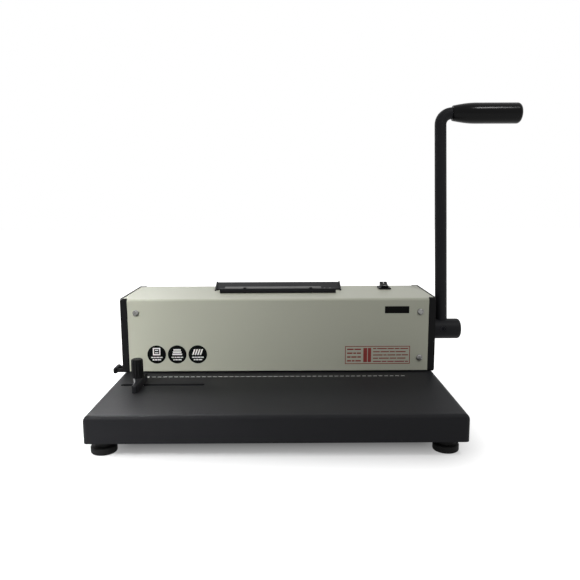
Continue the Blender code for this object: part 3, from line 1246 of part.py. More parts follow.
def main():
    clear_scene()
    black_paint = make_material("black_powder_coat", (0.045, 0.046, 0.049), 0.55)
    grey_paint = make_material("grey_enamel", (0.46, 0.47, 0.43), 0.45)
    black_plastic = make_material("black_plastic", (0.02, 0.02, 0.022), 0.4)
    rubber = make_material("black_rubber", (0.018, 0.018, 0.018), 0.8)
    tool_steel = make_material("tool_steel", (0.42, 0.42, 0.43), 0.3, 1.0)
    plated = make_material("zinc_plated_steel", (0.6, 0.6, 0.6), 0.35, 1.0)
    bronze = make_material("bronze", (0.55, 0.38, 0.18), 0.4, 1.0)

    machine = make_empty("machine", (-CENTRE_X, -CENTRE_Y, 0))
    handle_axis = make_empty("handle_axis", (0, SHAFT_Y, SHAFT_Z), machine)
    beam_axis = make_empty("beam_axis", (0, PUNCH_Y, BEAM_BOTTOM), machine)
    roller_axis = make_empty("roller_axis", (0, ROLLER_Y, ROLLER_Z), machine)
    motor_axis = make_empty("motor_axis", (0, MOTOR_Y, MOTOR_Z), machine)
    tray_axis = make_empty("tray_axis", (TRAY_FRONT_OUT, TRAY_Y, TRAY_BOTTOM), machine)
    guide_axis = make_empty("guide_axis", (STUD_X, GUIDE_SLOT_Y, ON_TABLE_Z), machine)
    rocker_axis = make_empty("rocker_axis", (SWITCH_X, SWITCH_Y, ON_COVER_Z + BEZEL_HEIGHT + GAP), machine)

    make_base_pan(machine, black_paint)
    make_bottom_plate(machine, plated)
    make_feet(machine, rubber)
    make_die_plate(machine, tool_steel)
    make_guide_plate(machine, tool_steel)
    make_back_stop(machine, plated)
    make_guide_rods(machine, plated)
    make_return_springs(machine, plated)
    make_side_frames(machine, plated)
    make_bushes(machine, bronze)
    make_top_cover(machine, grey_paint)
    make_cover_screws(machine, plated)
    make_end_covers(machine, black_plastic)
    make_coil_lip(machine, black_paint)
    make_lip_screws(machine, black_paint)
    make_coil_rest(machine, black_paint)
    make_roller_brackets(machine, plated)
    make_motor(machine, plated)
    make_motor_bracket(machine, plated)
    make_drive_belt(machine, rubber)
    make_switch_body(machine, black_plastic)
    make_power_inlet(machine, black_plastic)
    make_tray_runners(machine, plated)

    make_punch_beam(beam_axis, plated)
    make_punch_gang(beam_axis, tool_steel)
    make_racks(beam_axis, tool_steel)
    make_drive_shaft(handle_axis, plated)
    make_pinions(handle_axis, tool_steel)
    make_handle_hub(handle_axis, black_paint)
    make_set_screw(handle_axis, plated)
    make_handle_arm(handle_axis, black_paint)
    make_handle_grip(handle_axis, black_plastic)
    make_roller(roller_axis, rubber, plated, black_plastic)
    make_motor_pulley(motor_axis, black_plastic)
    make_chip_tray(tray_axis, black_paint)
    make_tray_pull(tray_axis, black_plastic)
    make_edge_guide(guide_axis, black_paint)
    make_guide_nut(guide_axis, plated)
    make_guide_knob(guide_axis, black_plastic)
    make_switch_rocker(rocker_axis, black_plastic)


main()
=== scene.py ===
# %% [markdown]
# # Dressing a coil binding machine
# The machine is a lever punch with a powered roller on top that winds plastic coils through the
# punched holes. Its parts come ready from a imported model. This lesson gives each part its finish,
# adds the prints and the fine round shapes, and lights the whole as in a product picture.
# Each step first says what the piece is on the real machine and why it is made this way.

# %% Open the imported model
import math

import bmesh
import bpy
from mathutils import Matrix, Vector


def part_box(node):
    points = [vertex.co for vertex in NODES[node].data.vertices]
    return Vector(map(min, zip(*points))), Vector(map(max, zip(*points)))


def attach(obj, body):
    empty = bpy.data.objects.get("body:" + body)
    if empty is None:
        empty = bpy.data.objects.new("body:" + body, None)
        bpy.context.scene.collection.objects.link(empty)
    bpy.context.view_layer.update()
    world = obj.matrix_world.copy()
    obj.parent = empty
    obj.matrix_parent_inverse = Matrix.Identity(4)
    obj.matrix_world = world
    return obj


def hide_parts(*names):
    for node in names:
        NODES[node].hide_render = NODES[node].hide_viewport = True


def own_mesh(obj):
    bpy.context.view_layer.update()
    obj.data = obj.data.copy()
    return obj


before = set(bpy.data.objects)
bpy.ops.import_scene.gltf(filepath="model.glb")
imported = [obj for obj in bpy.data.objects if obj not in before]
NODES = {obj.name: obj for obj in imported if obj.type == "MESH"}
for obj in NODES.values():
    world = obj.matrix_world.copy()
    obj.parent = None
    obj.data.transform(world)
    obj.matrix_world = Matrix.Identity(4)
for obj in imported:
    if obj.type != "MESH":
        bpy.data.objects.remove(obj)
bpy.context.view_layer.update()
print("pieces in the packed model:", len(NODES))

# %% [markdown]
# ## Where things are
# The long cover is the best piece to measure from, because the whole machine is drawn around it.
# Its middle, its front face and the table's top are read from the model, so that every print and
# every new piece sits on the surface that carries it.

# %% Places to measure from


def middle_of(name):
    """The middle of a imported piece's box."""
    low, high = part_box(name)
    return (low + high) / 2


COVER_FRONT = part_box("top_cover")[0].y
COVER_MIDDLE = middle_of("top_cover").x
BASE_LOW, BASE_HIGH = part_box("base_pan")
TABLE_TOP = BASE_HIGH.z
SHAFT_Y, SHAFT_Z = middle_of("drive_shaft").yz
print("cover middle and front:", round(COVER_MIDDLE, 4), round(COVER_FRONT, 4))
print("table height:", round(TABLE_TOP, 4))

# %% [markdown]
# ## The camera
# The picture was taken from about two thirds of a metre in front of the cover, a little above it,
# with a normal lens. The tilt, the small turn and the small roll were solved from the corners of
# the cover, the base and the feet, so that each corner falls on its place in the picture.

# %% Camera
CAMERA_PLACE = (0.0108, -0.6802, 0.2405)
CAMERA_TURN = -0.004
CAMERA_DOWN = 0.150
CAMERA_ROLL = -0.004
CAMERA_LENS = 37.63


def add_object(name, data):
    """Put a new object into the scene."""
    thing = bpy.data.objects.new(name, data)
    bpy.context.scene.collection.objects.link(thing)
    return thing


camera_data = bpy.data.cameras.new("camera")
camera_data.sensor_width = 36
camera_data.lens = CAMERA_LENS
camera_data.clip_start = 0.01
camera = add_object("camera", camera_data)
aim = (Matrix.Rotation(CAMERA_TURN, 4, "Z") @ Matrix.Rotation(math.pi / 2 - CAMERA_DOWN, 4, "X")
       @ Matrix.Rotation(CAMERA_ROLL, 4, "Z"))
place = Vector(CAMERA_PLACE) + Vector((COVER_MIDDLE, COVER_FRONT, 0))
camera.matrix_world = Matrix.Translation(place) @ aim
bpy.context.scene.camera = camera
print("camera at", tuple(round(v, 4) for v in camera.location))

# %% [markdown]
# ## Light
# A product picture of a dark machine needs broad soft lamps, because black paint shows little but
# what it mirrors. The main lamp is a soft box at the left in front, with a grid that keeps its beam
# narrow, so that the cover is brightest at its left end. A small lamp high at the right draws the
# line of light on the grip. One above and behind lights the trough. A panel behind the left end makes
# the sheen at the table's corner, and a narrow spot carries it on over the table's left half.

# %% Lamps


def add_lamp(name, place, aim_at, size, power, grid=180):
    """A soft box. Its grid gives the angle, in degrees, over which the beam spreads."""
    data = bpy.data.lights.new(name, "AREA")
    data.shape = "RECTANGLE"
    data.size, data.size_y = size
    data.energy = power
    data.spread = math.radians(grid)
    lamp = add_object(name, data)
    lamp.location = place
    lamp.rotation_euler = (Vector(aim_at) - Vector(place)).to_track_quat("-Z", "Y").to_euler()


OBJECT_MIDDLE = (0, 0, 0.1)
add_lamp("lamp_front_left", (-1.0, -1.0, 1.1), (-0.47, -0.08, 0), (0.5, 0.5), power=1.7, grid=25)
add_lamp("lamp_high_right", (0.68, -0.76, 1.54), OBJECT_MIDDLE, (0.3, 0.15), power=8)
add_lamp("lamp_behind_above", (-0.25, 1.1, 1.3), OBJECT_MIDDLE, (1.0, 0.35), power=2.3)
add_lamp("panel_behind_left", (-1.0, 2.2, 0.75), (-0.2, 0, 0.05), (0.9, 0.6), power=2.0)
add_lamp("spot_behind_left", (-0.75, 0.85, 1.15), (-0.17, -0.18, 0.04), (0.1, 0.1), power=0.068, grid=9)
print("lamps:", len(bpy.data.lights))

# %% [markdown]
# The world is a plain pale grey as far as it lights the machine, and white where it is seen, also
# in a mirror or through glass. The two are told apart by the kind of ray.

# %% World
AMBIENT = 0.34


def feed(tree, inputs, feeds):
    """Give inputs their values, or link them to the outputs of other nodes."""
    for label, value in feeds.items():
        if isinstance(value, bpy.types.NodeSocket):
            tree.links.new(value, inputs[label])
        else:
            inputs[label].default_value = value


def add_node(tree, kind, feeds, **settings):
    """A new node with its settings and what feeds its inputs. Returns its outputs."""
    node = tree.nodes.new("ShaderNode" + kind)
    for label, value in settings.items():
        setattr(node, label, value)
    feed(tree, node.inputs, feeds)
    return node.outputs


def add_math(tree, operation, first, second):
    return add_node(tree, "Math", {0: first, 1: second}, operation=operation)[0]


def spread(tree, value, low, high, source=(0.3, 0.7)):
    """Bring a value from its source range to the range from low to high."""
    feeds = {"Value": value, "From Min": source[0], "From Max": source[1], "To Min": low, "To Max": high}
    return add_node(tree, "MapRange", feeds)["Result"]


world = bpy.data.worlds.new("studio")
bpy.context.scene.world = world
world.use_nodes = True
tree = world.node_tree
rays = add_node(tree, "LightPath", {})
mirrored = add_math(tree, "MAXIMUM", rays["Is Glossy Ray"], rays["Is Transmission Ray"])
seen = add_math(tree, "MAXIMUM", rays["Is Camera Ray"], mirrored)
strength = spread(tree, seen, AMBIENT, 1.0, (0.0, 1.0))
feed(tree, tree.nodes["Background"].inputs, {"Color": (1, 1, 1, 1), "Strength": strength})
bpy.context.scene.view_settings.view_transform = "Standard"
print("ambient light:", AMBIENT)

# %% [markdown]
# ## The floor
# A white sheet that keeps only the soft shadow under the base and the feet. Its own pale colour
# takes the lamps' light, and a glow for the camera lifts the open part to plain white. The glow is
# weak under the base and grows outwards, so that it paints a shadow that fades softly round the base.

# %% Floor
FLOOR_HALF = 4.0
FLOOR_COLOUR = (0.55, 0.55, 0.55, 1)
FLOOR_ROUGHNESS = 0.9
GLOW_NEAR = 0.09
GLOW_FAR = 1.0
GLOW_INSIDE = 0.040
GLOW_REACH = 0.0956


def add_mesh(name, shape):
    """Put a shape into the scene as a new object."""
    mesh = bpy.data.meshes.new(name)
    shape.to_mesh(mesh)
    shape.free()
    return add_object(name, mesh)


sheet = bmesh.new()
bmesh.ops.create_grid(sheet, x_segments=8, y_segments=8, size=FLOOR_HALF)
floor = add_mesh("floor", sheet)
floor.location = (*middle_of("base_pan").xy, 0)
material = bpy.data.materials.new("white_sheet")
material.use_nodes = True
floor.data.materials.append(material)
tree = material.node_tree

half = (BASE_HIGH - BASE_LOW) / 2
inner = (half.x - GLOW_INSIDE, half.y - GLOW_INSIDE, 0)
place = add_node(tree, "TexCoord", {})["Object"]
place = add_node(tree, "VectorMath", {0: place}, operation="ABSOLUTE")["Vector"]
place = add_node(tree, "VectorMath", {0: place, 1: inner}, operation="SUBTRACT")["Vector"]
place = add_node(tree, "VectorMath", {0: place}, operation="MAXIMUM")["Vector"]
apart = add_node(tree, "VectorMath", {0: place}, operation="LENGTH")["Value"]
# The glow grows with the distance from the base, which paints a soft shadow round it.
glow = spread(tree, apart, GLOW_NEAR, GLOW_FAR, (0.0, GLOW_REACH))
rays = add_node(tree, "LightPath", {})
seen = add_math(tree, "MAXIMUM", rays["Is Camera Ray"], rays["Is Glossy Ray"])
feed(tree, tree.nodes["Principled BSDF"].inputs, {
    "Base Color": FLOOR_COLOUR, "Roughness": FLOOR_ROUGHNESS, "Specular IOR Level": 0.0,
    "Emission Color": (1, 1, 1, 1), "Emission Strength": add_math(tree, "MULTIPLY", glow, seen)})
print("floor edge, m:", 2 * FLOOR_HALF)

# %% [markdown]
# ## Shared effects
# Powder coat, cast plastic and rubber all have a fine skin of bumps, and all of them vary a little
# in tone. One node group makes such a skin, so that each material places it with its own scale.
# A second group makes the long fine lines of ground or rolled metal.

# %% Node group helpers


def new_group(name, inputs):
    """A group that gives a height and a tone. Returns it with what it is given and its results."""
    group = bpy.data.node_groups.new(name, "ShaderNodeTree")
    for label, kind in inputs.items():
        group.interface.new_socket(label, in_out="INPUT", socket_type="NodeSocket" + kind)
    for label in ("Height", "Tone"):
        group.interface.new_socket(label, in_out="OUTPUT", socket_type="NodeSocketFloat")
    start = group.nodes.new("NodeGroupInput")
    end = group.nodes.new("NodeGroupOutput")
    return group, start.outputs, end.inputs


def add_noise(tree, vector, scale, detail):
    return add_node(tree, "TexNoise", {"Vector": vector, "Scale": scale, "Detail": detail})["Fac"]


# %% [markdown]
# The skin is the sum of a fine noise, which gives the single grains, and a noise four times as
# coarse, which gathers them into faint clumps. The tone output drifts slowly over the piece, as
# paint does where it was sprayed a little thicker.

# %% Skin of paint and plastic
FINE_SHARE = 0.65
CLUMP_SCALE = 0.25

GRAIN, given, results = new_group(
    "skin of fine grains", {"Vector": "Vector", "Grain Scale": "Float", "Tone Scale": "Float"})
grains = add_noise(GRAIN, given["Vector"], given["Grain Scale"], 2.0)
clump_scale = add_math(GRAIN, "MULTIPLY", given["Grain Scale"], CLUMP_SCALE)
clumps = add_noise(GRAIN, given["Vector"], clump_scale, 1.0)
grains = add_math(GRAIN, "MULTIPLY", grains, FINE_SHARE)
clumps = add_math(GRAIN, "MULTIPLY", clumps, 1 - FINE_SHARE)
tone = add_noise(GRAIN, given["Vector"], given["Tone Scale"], 4.0)
feed(GRAIN, results, {"Height": add_math(GRAIN, "ADD", grains, clumps), "Tone": tone})
print("group:", GRAIN.name)

# %% [markdown]
# Ground metal shows lines in one direction. Stretching a noise along that direction gives them: the
# place is first multiplied by a vector that is small along the lines and large across them.

# %% Lines of ground metal
CLOUD_SCALE = 30.0

LINES, given, results = new_group(
    "lines of ground metal", {"Vector": "Vector", "Stretch": "Vector", "Line Scale": "Float"})
feeds = {0: given["Vector"], 1: given["Stretch"]}
stretched = add_node(LINES, "VectorMath", feeds, operation="MULTIPLY")["Vector"]
lines = add_noise(LINES, stretched, given["Line Scale"], 3.0)
feed(LINES, results, {"Height": lines, "Tone": add_noise(LINES, given["Vector"], CLOUD_SCALE, 4.0)})
print("group:", LINES.name)

# %% [markdown]
# ## Finishes
# Every finish follows one recipe: a place on the piece feeds a shared group, the group's tone
# mixes two close colours and moves the roughness a little, and its height feeds a bump. What is the
# same all over, such as how much a paint mirrors, is typed into the shader itself.

# %% Recipe for a finish


def make_finish(name, group, settings, colours, roughness, bump, specular=0.5, metallic=0.0):
    """One material: colours and roughness are (low, high) pairs, bump is (strength, depth in m)."""
    material = bpy.data.materials.new(name)
    material.use_nodes = True
    tree = material.node_tree
    place = add_node(tree, "TexCoord", {})["Object"]
    effect = add_node(tree, "Group", {"Vector": place, **settings}, node_tree=group)
    feeds = {"A": (*colours[0], 1), "B": (*colours[1], 1), "Factor": spread(tree, effect["Tone"], 0.0, 1.0)}
    colour = add_node(tree, "Mix", feeds, data_type="RGBA")["Result"]
    feeds = {"Strength": bump[0], "Distance": bump[1], "Height": effect["Height"]}
    relief = add_node(tree, "Bump", feeds)["Normal"]
    feed(tree, tree.nodes["Principled BSDF"].inputs, {
        "Base Color": colour, "Roughness": spread(tree, effect["Tone"], *roughness),
        "Normal": relief, "Specular IOR Level": specular, "Metallic": metallic})
    material.diffuse_color = (*colours[0], 1)
    return material


# %% [markdown]
# The base, the lever and the trough are steel with a black powder coat: baked powder that runs
# together into a fine pebbled skin, which breaks up what it mirrors. The cover has a thinner wet
# enamel in a greenish warm grey, much smoother, with only a trace of orange peel.

# %% Paints
POWDER_COAT = make_finish(
    "black_powder_coat", GRAIN, {"Grain Scale": 1100.0, "Tone Scale": 7.0},
    ((0.0120, 0.0122, 0.0138), (0.0148, 0.0150, 0.0168)), (0.46, 0.56), (0.35, 0.0003), specular=0.09)
ENAMEL = make_finish(
    "grey_enamel", GRAIN, {"Grain Scale": 650.0, "Tone Scale": 5.0},
    ((0.455, 0.463, 0.378), (0.475, 0.483, 0.396)), (0.40, 0.48), (0.10, 0.0001), specular=0.3)
print("paints:", POWDER_COAT.name, ENAMEL.name)

# %% [markdown]
# The end covers, the grip, the knob and the switch are moulded in black plastic. The mould leaves a
# fine even skin on the end covers and a smooth one on the grip, which is also polished by hands.
# The feet and the belt are black rubber, almost without gloss. The roller's sleeve is a lighter grey
# rubber and the pulleys are moulded in the same grey, so that together they show as a light band
# along the trough.

# %% Plastics and rubber
MOULDED = make_finish(
    "moulded_black", GRAIN, {"Grain Scale": 1500.0, "Tone Scale": 12.0},
    ((0.0045, 0.0045, 0.0048), (0.0065, 0.0065, 0.0069)), (0.42, 0.52), (0.20, 0.0002), specular=0.08)
GRIP_PLASTIC = make_finish(
    "polished_grip", GRAIN, {"Grain Scale": 500.0, "Tone Scale": 14.0},
    ((0.0030, 0.0030, 0.0033), (0.0040, 0.0040, 0.0044)), (0.18, 0.24), (0.02, 0.00005), specular=0.1)
RUBBER = make_finish(
    "black_rubber", GRAIN, {"Grain Scale": 800.0, "Tone Scale": 20.0},
    ((0.006, 0.006, 0.006), (0.010, 0.010, 0.010)), (0.60, 0.72), (0.30, 0.0003), specular=0.15)
ROLLER_RUBBER = make_finish(
    "grey_roller_rubber", GRAIN, {"Grain Scale": 900.0, "Tone Scale": 30.0},
    ((0.100, 0.100, 0.098), (0.130, 0.130, 0.127)), (0.50, 0.60), (0.25, 0.0002), specular=0.3)
print("plastics and rubbers:", MOULDED.name, GRIP_PLASTIC.name, RUBBER.name, ROLLER_RUBBER.name)

# %% [markdown]
# Inside are zinc plated brackets, ground tool steel for the punch, and bushes of sintered bronze.
# Zinc is dull and cloudy, and on the cover's screws it has gone darker. Ground steel has lines along
# its length, and so has the lighter steel on the stop's rim, a painted highlight. The plates that
# close the throat are near-black steel as painted shade, so that the gap for the paper stays dark.

# %% Metals
ZINC = make_finish(
    "zinc_plate", GRAIN, {"Grain Scale": 300.0, "Tone Scale": 60.0},
    ((0.52, 0.52, 0.51), (0.64, 0.64, 0.62)), (0.28, 0.42), (0.06, 0.0001), metallic=1.0)
DULL_ZINC = make_finish(
    "dull_zinc", GRAIN, {"Grain Scale": 700.0, "Tone Scale": 250.0},
    ((0.16, 0.16, 0.155), (0.26, 0.26, 0.25)), (0.30, 0.44), (0.10, 0.0001), metallic=1.0)
TOOL_STEEL = make_finish(
    "ground_steel", LINES, {"Stretch": (0.03, 1.0, 1.0), "Line Scale": 1600.0},
    ((0.36, 0.36, 0.37), (0.46, 0.46, 0.47)), (0.22, 0.34), (0.15, 0.0001), metallic=1.0)
# Near-black steel: black oxide on the grub screw, painted shade on the throat's plates and frames.
BLACK_STEEL_AND_SHADE = make_finish(
    "black_oxide_and_painted_shade", LINES, {"Stretch": (0.03, 1.0, 1.0), "Line Scale": 1200.0},
    ((0.012, 0.012, 0.014), (0.020, 0.020, 0.023)), (0.40, 0.50), (0.12, 0.0001), metallic=1.0)
# Lighter steel for the paper stop's curved rim, a painted highlight.
HIGHLIGHT_STEEL = make_finish(
    "painted_highlight_steel", LINES, {"Stretch": (1.0, 0.03, 1.0), "Line Scale": 900.0},
    ((0.30, 0.30, 0.31), (0.38, 0.38, 0.39)), (0.26, 0.38), (0.10, 0.0001), metallic=1.0)
BRONZE = make_finish(
    "sintered_bronze", GRAIN, {"Grain Scale": 1800.0, "Tone Scale": 90.0},
    ((0.48, 0.32, 0.15), (0.58, 0.40, 0.20)), (0.38, 0.52), (0.30, 0.0002), metallic=1.0)
print("metals:", ZINC.name, DULL_ZINC.name, TOOL_STEEL.name, BLACK_STEEL_AND_SHADE.name, HIGHLIGHT_STEEL.name, BRONZE.name)

# %% [markdown]
# The prints are thin ink films. They are as smooth as the enamel under them and take its orange peel.

# %% Inks
BLACK_INK = make_finish(
    "black_print", GRAIN, {"Grain Scale": 900.0, "Tone Scale": 40.0},
    ((0.0025, 0.0025, 0.0025), (0.0040, 0.0040, 0.0040)), (0.40, 0.48), (0.05, 0.0001), specular=0.04)
WHITE_INK = make_finish(
    "white_print", GRAIN, {"Grain Scale": 900.0, "Tone Scale": 40.0},
    ((0.78, 0.78, 0.76), (0.86, 0.86, 0.84)), (0.5, 0.6), (0.05, 0.0001), specular=0.3)
RED_INK = make_finish(
    "red_print", GRAIN, {"Grain Scale": 900.0, "Tone Scale": 60.0},
    ((0.20, 0.028, 0.024), (0.27, 0.045, 0.038)), (0.45, 0.55), (0.05, 0.0001), specular=0.3)
print("finishes:", len(bpy.data.materials))

# %% [markdown]
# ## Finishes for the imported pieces
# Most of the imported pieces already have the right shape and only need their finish. The list gives
# each finish the pieces that take it, and the rest are plated with zinc. The pieces that are made
# anew further on get their finish there.

# %% Give the pieces their finishes
FINISHES = {
    POWDER_COAT: ["base_pan", "bottom_plate", "coil_rest", "chip_tray"],
    ENAMEL: ["top_cover"],
    MOULDED: ["end_cover_left", "end_cover_right"],
    RUBBER: ["drive_belt"],
    ROLLER_RUBBER: ["roller_pulley", "motor_pulley"],
    TOOL_STEEL: ["punch_gang", "pinion_left", "pinion_right", "rack_left", "rack_right"],
    # The throat's plates and frames take near-black steel as painted shade, so the paper gap stays dark.
    BLACK_STEEL_AND_SHADE: ["die_plate", "guide_plate", "back_stop", "side_frame_left", "side_frame_right",
                "hub_set_screw"],
    BRONZE: ["bush_left", "bush_right"],
}
finish_of = {name: finish for finish, names in FINISHES.items() for name in names}
for name, node in NODES.items():
    node.data.materials.clear()
    node.data.materials.append(finish_of.get(name, ZINC))
print("pieces that aren't plated:", len(finish_of))

# %% [markdown]
# ## Tools for new pieces
# New pieces are closed bodies built from a list of points: a flat outline pushed along an axis, a
# profile turned round an axis, or outlines laid one after the other and joined like ribs.

# %% Places and arcs


def along(axis, distance, u, v):
    """The point at a distance along an axis, with the other two places in x, y, z order."""
    return {"x": (distance, u, v), "y": (u, distance, v), "z": (u, v, distance)}[axis]


def turns_round(count):
    """The angles of evenly spaced points all round a circle."""
    return [2 * math.pi * k / count for k in range(count)]


def arc(centre, radius, start, end, steps=8):
    """Points along a part of a circle, from one angle to another in degrees."""
    points = []
    for i in range(steps + 1):
        turn = math.radians(start + (end - start) * i / steps)
        points.append((centre[0] + radius * math.cos(turn), centre[1] + radius * math.sin(turn)))
    return points


# %% [markdown]
# Each piece gets its faces turned outwards, smooth shading with sharp creases, a material, the body
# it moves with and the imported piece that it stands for.

# %% Bodies


def join_pair(shape, first, second):
    """The faces between two rings that have the same count of points."""
    for k in range(len(first)):
        m = (k + 1) % len(first)
        shape.faces.new((first[k], first[m], second[m], second[k]))


def join_rings(shape, rings):
    """Join rings one to the next, and close both ends."""
    for first, second in zip(rings, rings[1:]):
        join_pair(shape, first, second)
    shape.faces.new(rings[0])
    shape.faces.new(reversed(rings[-1]))


def add_ribbed(shape, ribs, axis):
    """A body through (distance, outline) ribs along an axis."""
    join_rings(shape, [[shape.verts.new(along(axis, distance, u, v)) for u, v in outline]
                       for distance, outline in ribs])


def add_prism(shape, outline, axis, start, end):
    add_ribbed(shape, [(start, outline), (end, outline)], axis)


def add_turned(shape, profile, axis, centre, sides=64, hollow=False, flute=None):
    """Turn (distance along the axis, radius) points round it, and cut each radius by the flute."""
    rings = []
    for distance, radius in profile:
        ring = []
        for turn in turns_round(sides if radius > 0 else 1):
            reach = radius - (flute(distance, turn) if flute and radius > 0 else 0)
            u, v = centre[0] + reach * math.cos(turn), centre[1] + reach * math.sin(turn)
            ring.append(shape.verts.new(along(axis, distance, u, v)))
        rings.append(ring)
    if hollow:
        rings.append(rings[0])
    for first, second in zip(rings, rings[1:]):
        for k in range(sides):
            m = (k + 1) % sides
            corners = [first[k % len(first)], first[m % len(first)]]
            corners += [second[m % len(second)], second[k % len(second)]]
            shape.faces.new(list(dict.fromkeys(corners)))


CREASE = math.radians(38)


def finish_piece(shape, name, body, material, replaced=()):
    bmesh.ops.recalc_face_normals(shape, faces=shape.faces)
    piece = add_mesh(name, shape)
    piece.data.shade_smooth()
    piece.data.set_sharp_from_angle(angle=CREASE)
    piece.data.materials.append(material)
    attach(piece, body)
    if replaced:
        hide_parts(*replaced)
    return piece


# %% [markdown]
# ## The lever
# The lever is a round bar, bent once at the top and pushed into a hub that is fixed to the punch
# shaft. It leans back by a few degrees. The line from the shaft to the grip gives that lean, so the
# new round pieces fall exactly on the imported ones.

# %% Lever arm
ARM_RADIUS = 0.007
ARM_BEND_RADIUS = 0.0138
ARM_START = 0.008
ARM_INTO_GRIP = 0.020
GRIP_LOW, GRIP_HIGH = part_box("handle_grip")
GRIP_Y, GRIP_Z = middle_of("handle_grip").yz
ARM_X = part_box("handle_arm")[0].x + ARM_RADIUS
LEAN = Vector((0, GRIP_Y - SHAFT_Y, GRIP_Z - SHAFT_Z))
HANDLE_LENGTH = LEAN.length
LEAN.normalize()


def sweep(shape, path, radius, sides=48):
    """A round bar along points of the lever's plane. Each ring stands across the path."""
    across = LEAN.cross(Vector((1, 0, 0))).normalized()
    rings = []
    for before, point, after in zip(path[:1] + path, path, path[1:] + path[-1:]):
        other = (after - before).normalized().cross(across)
        rings.append([shape.verts.new(point + radius * (across * math.cos(t) + other * math.sin(t)))
                      for t in turns_round(sides)])
    join_rings(shape, rings)


bend_centre = (ARM_X + ARM_BEND_RADIUS, HANDLE_LENGTH - ARM_BEND_RADIUS)
arm_line = [(ARM_X, ARM_START), (ARM_X, HANDLE_LENGTH / 2)]
arm_line += arc(bend_centre, ARM_BEND_RADIUS, 180, 90, steps=14)
arm_line.append((GRIP_LOW.x + ARM_INTO_GRIP, HANDLE_LENGTH))
arm_path = [Vector((x, SHAFT_Y, SHAFT_Z)) + LEAN * height for x, height in arm_line]
shape = bmesh.new()
sweep(shape, arm_path, ARM_RADIUS)
finish_piece(shape, "lever_arm", "handle", POWDER_COAT, ["handle_arm"])
print("lever length, m:", round(HANDLE_LENGTH, 4))

# %% [markdown]
# The grip is turned plastic: thin where it meets the bar, swelling to full width in its first
# third, with a rounded crown at the end. Turning it here with many sides gives the smooth outline
# that the lamp's long highlight needs.

# %% Grip
GRIP_RADIUS = (GRIP_HIGH.z - GRIP_LOW.z) / 2
GRIP_THIN = 0.0092
GRIP_SWELL = 0.028
GRIP_COLLAR = 0.0012
GRIP_CROWN = 0.0012
CROWN_BOW = (0.7, 0.4)
GRIP_ROUND = 0.005
GRIP_STEPS = 12

collar_x = GRIP_LOW.x + GRIP_COLLAR
grip_profile = [(GRIP_LOW.x, 0)] + arc((collar_x, GRIP_THIN - GRIP_COLLAR), GRIP_COLLAR, 180, 90, steps=4)
for i in range(1, GRIP_STEPS + 1):
    t = i / GRIP_STEPS
    swell = (GRIP_RADIUS - GRIP_THIN) * math.sin(t * math.pi / 2)
    grip_profile.append((collar_x + (GRIP_SWELL - GRIP_COLLAR) * t, GRIP_THIN + swell))
grip_end = GRIP_HIGH.x - GRIP_CROWN
grip_profile += arc((grip_end - GRIP_ROUND, GRIP_RADIUS - GRIP_ROUND), GRIP_ROUND, 90, 15)
grip_profile += [(grip_end + GRIP_CROWN * CROWN_BOW[0], GRIP_RADIUS * CROWN_BOW[1]), (GRIP_HIGH.x, 0)]
shape = bmesh.new()
add_turned(shape, grip_profile, "x", (GRIP_Y, GRIP_Z), sides=72)
finish_piece(shape, "lever_grip", "handle", GRIP_PLASTIC, ["handle_grip"])
print("grip width and length, m:", round(2 * GRIP_RADIUS, 4), round(GRIP_HIGH.x - GRIP_LOW.x, 4))

# %% [markdown]
# The hub is a short cylinder with a rounded outer edge. A grub screw in its front side locks the
# bar, and its dark hole is the only mark on the plain paint. The hole is cut into the turned hub
# with a round bar, as a drill does, and the helper for it serves the other holes too.

# %% Hub
HUB_LOW, HUB_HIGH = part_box("handle_hub")
HUB_RADIUS = 0.012
HUB_EDGE = 0.0004
HUB_ROUND = 0.004
GRUB_HOLE_RADIUS = 0.0033
GRUB_HOLE_ENDS = (0.0055, 0.02)


def cut_away(piece, shape, place=Matrix.Identity(4)):
    bmesh.ops.recalc_face_normals(shape, faces=shape.faces)
    cutter = add_mesh("cutter", shape)
    cutter.matrix_world = place
    cut = piece.modifiers.new("cut", "BOOLEAN")
    cut.operation = "DIFFERENCE"
    cut.object = cutter
    bpy.context.view_layer.update()
    result = bpy.data.meshes.new_from_object(piece.evaluated_get(bpy.context.evaluated_depsgraph_get()))
    piece.modifiers.clear()
    piece.data = result
    result.set_sharp_from_angle(angle=CREASE)
    bpy.data.objects.remove(cutter, do_unlink=True)


def drill(piece, axis, centre, radius, ends, sides=32, place=Matrix.Identity(4)):
    bore = bmesh.new()
    start, end = ends
    add_turned(bore, [(start, 0), (start, radius), (end, radius), (end, 0)], axis, centre, sides)
    cut_away(piece, bore, place)


hub_profile = [(HUB_LOW.x, 0), (HUB_LOW.x, HUB_RADIUS - HUB_EDGE), (HUB_LOW.x + HUB_EDGE, HUB_RADIUS)]
hub_profile += arc((HUB_HIGH.x - HUB_ROUND, HUB_RADIUS - HUB_ROUND), HUB_ROUND, 90, 0)
hub_profile.append((HUB_HIGH.x, 0))
shape = bmesh.new()
add_turned(shape, hub_profile, "x", (SHAFT_Y, SHAFT_Z))
hub = finish_piece(shape, "lever_hub", "handle", POWDER_COAT, ["handle_hub"])
forward = Vector((0, -LEAN.z, LEAN.y))
grub_place = Matrix.Translation((middle_of("hub_set_screw").x, SHAFT_Y, SHAFT_Z))
grub_place @= forward.to_track_quat("Z", "X").to_matrix().to_4x4()
drill(hub, "z", (0, 0), GRUB_HOLE_RADIUS, GRUB_HOLE_ENDS, place=grub_place)
print("hub faces:", len(hub.data.polygons))

# %% [markdown]
# ## Return springs
# Two springs round the guide rods lift the punch beam after each stroke. A spring is a wire wound on
# a helix, so each ring of it stands on the line outwards from the rod.

# %% Springs
SPRING_WIRE = 0.0012
SPRING_CURLS = 5
CURL_STEPS = 24
WIRE_SIDES = 10


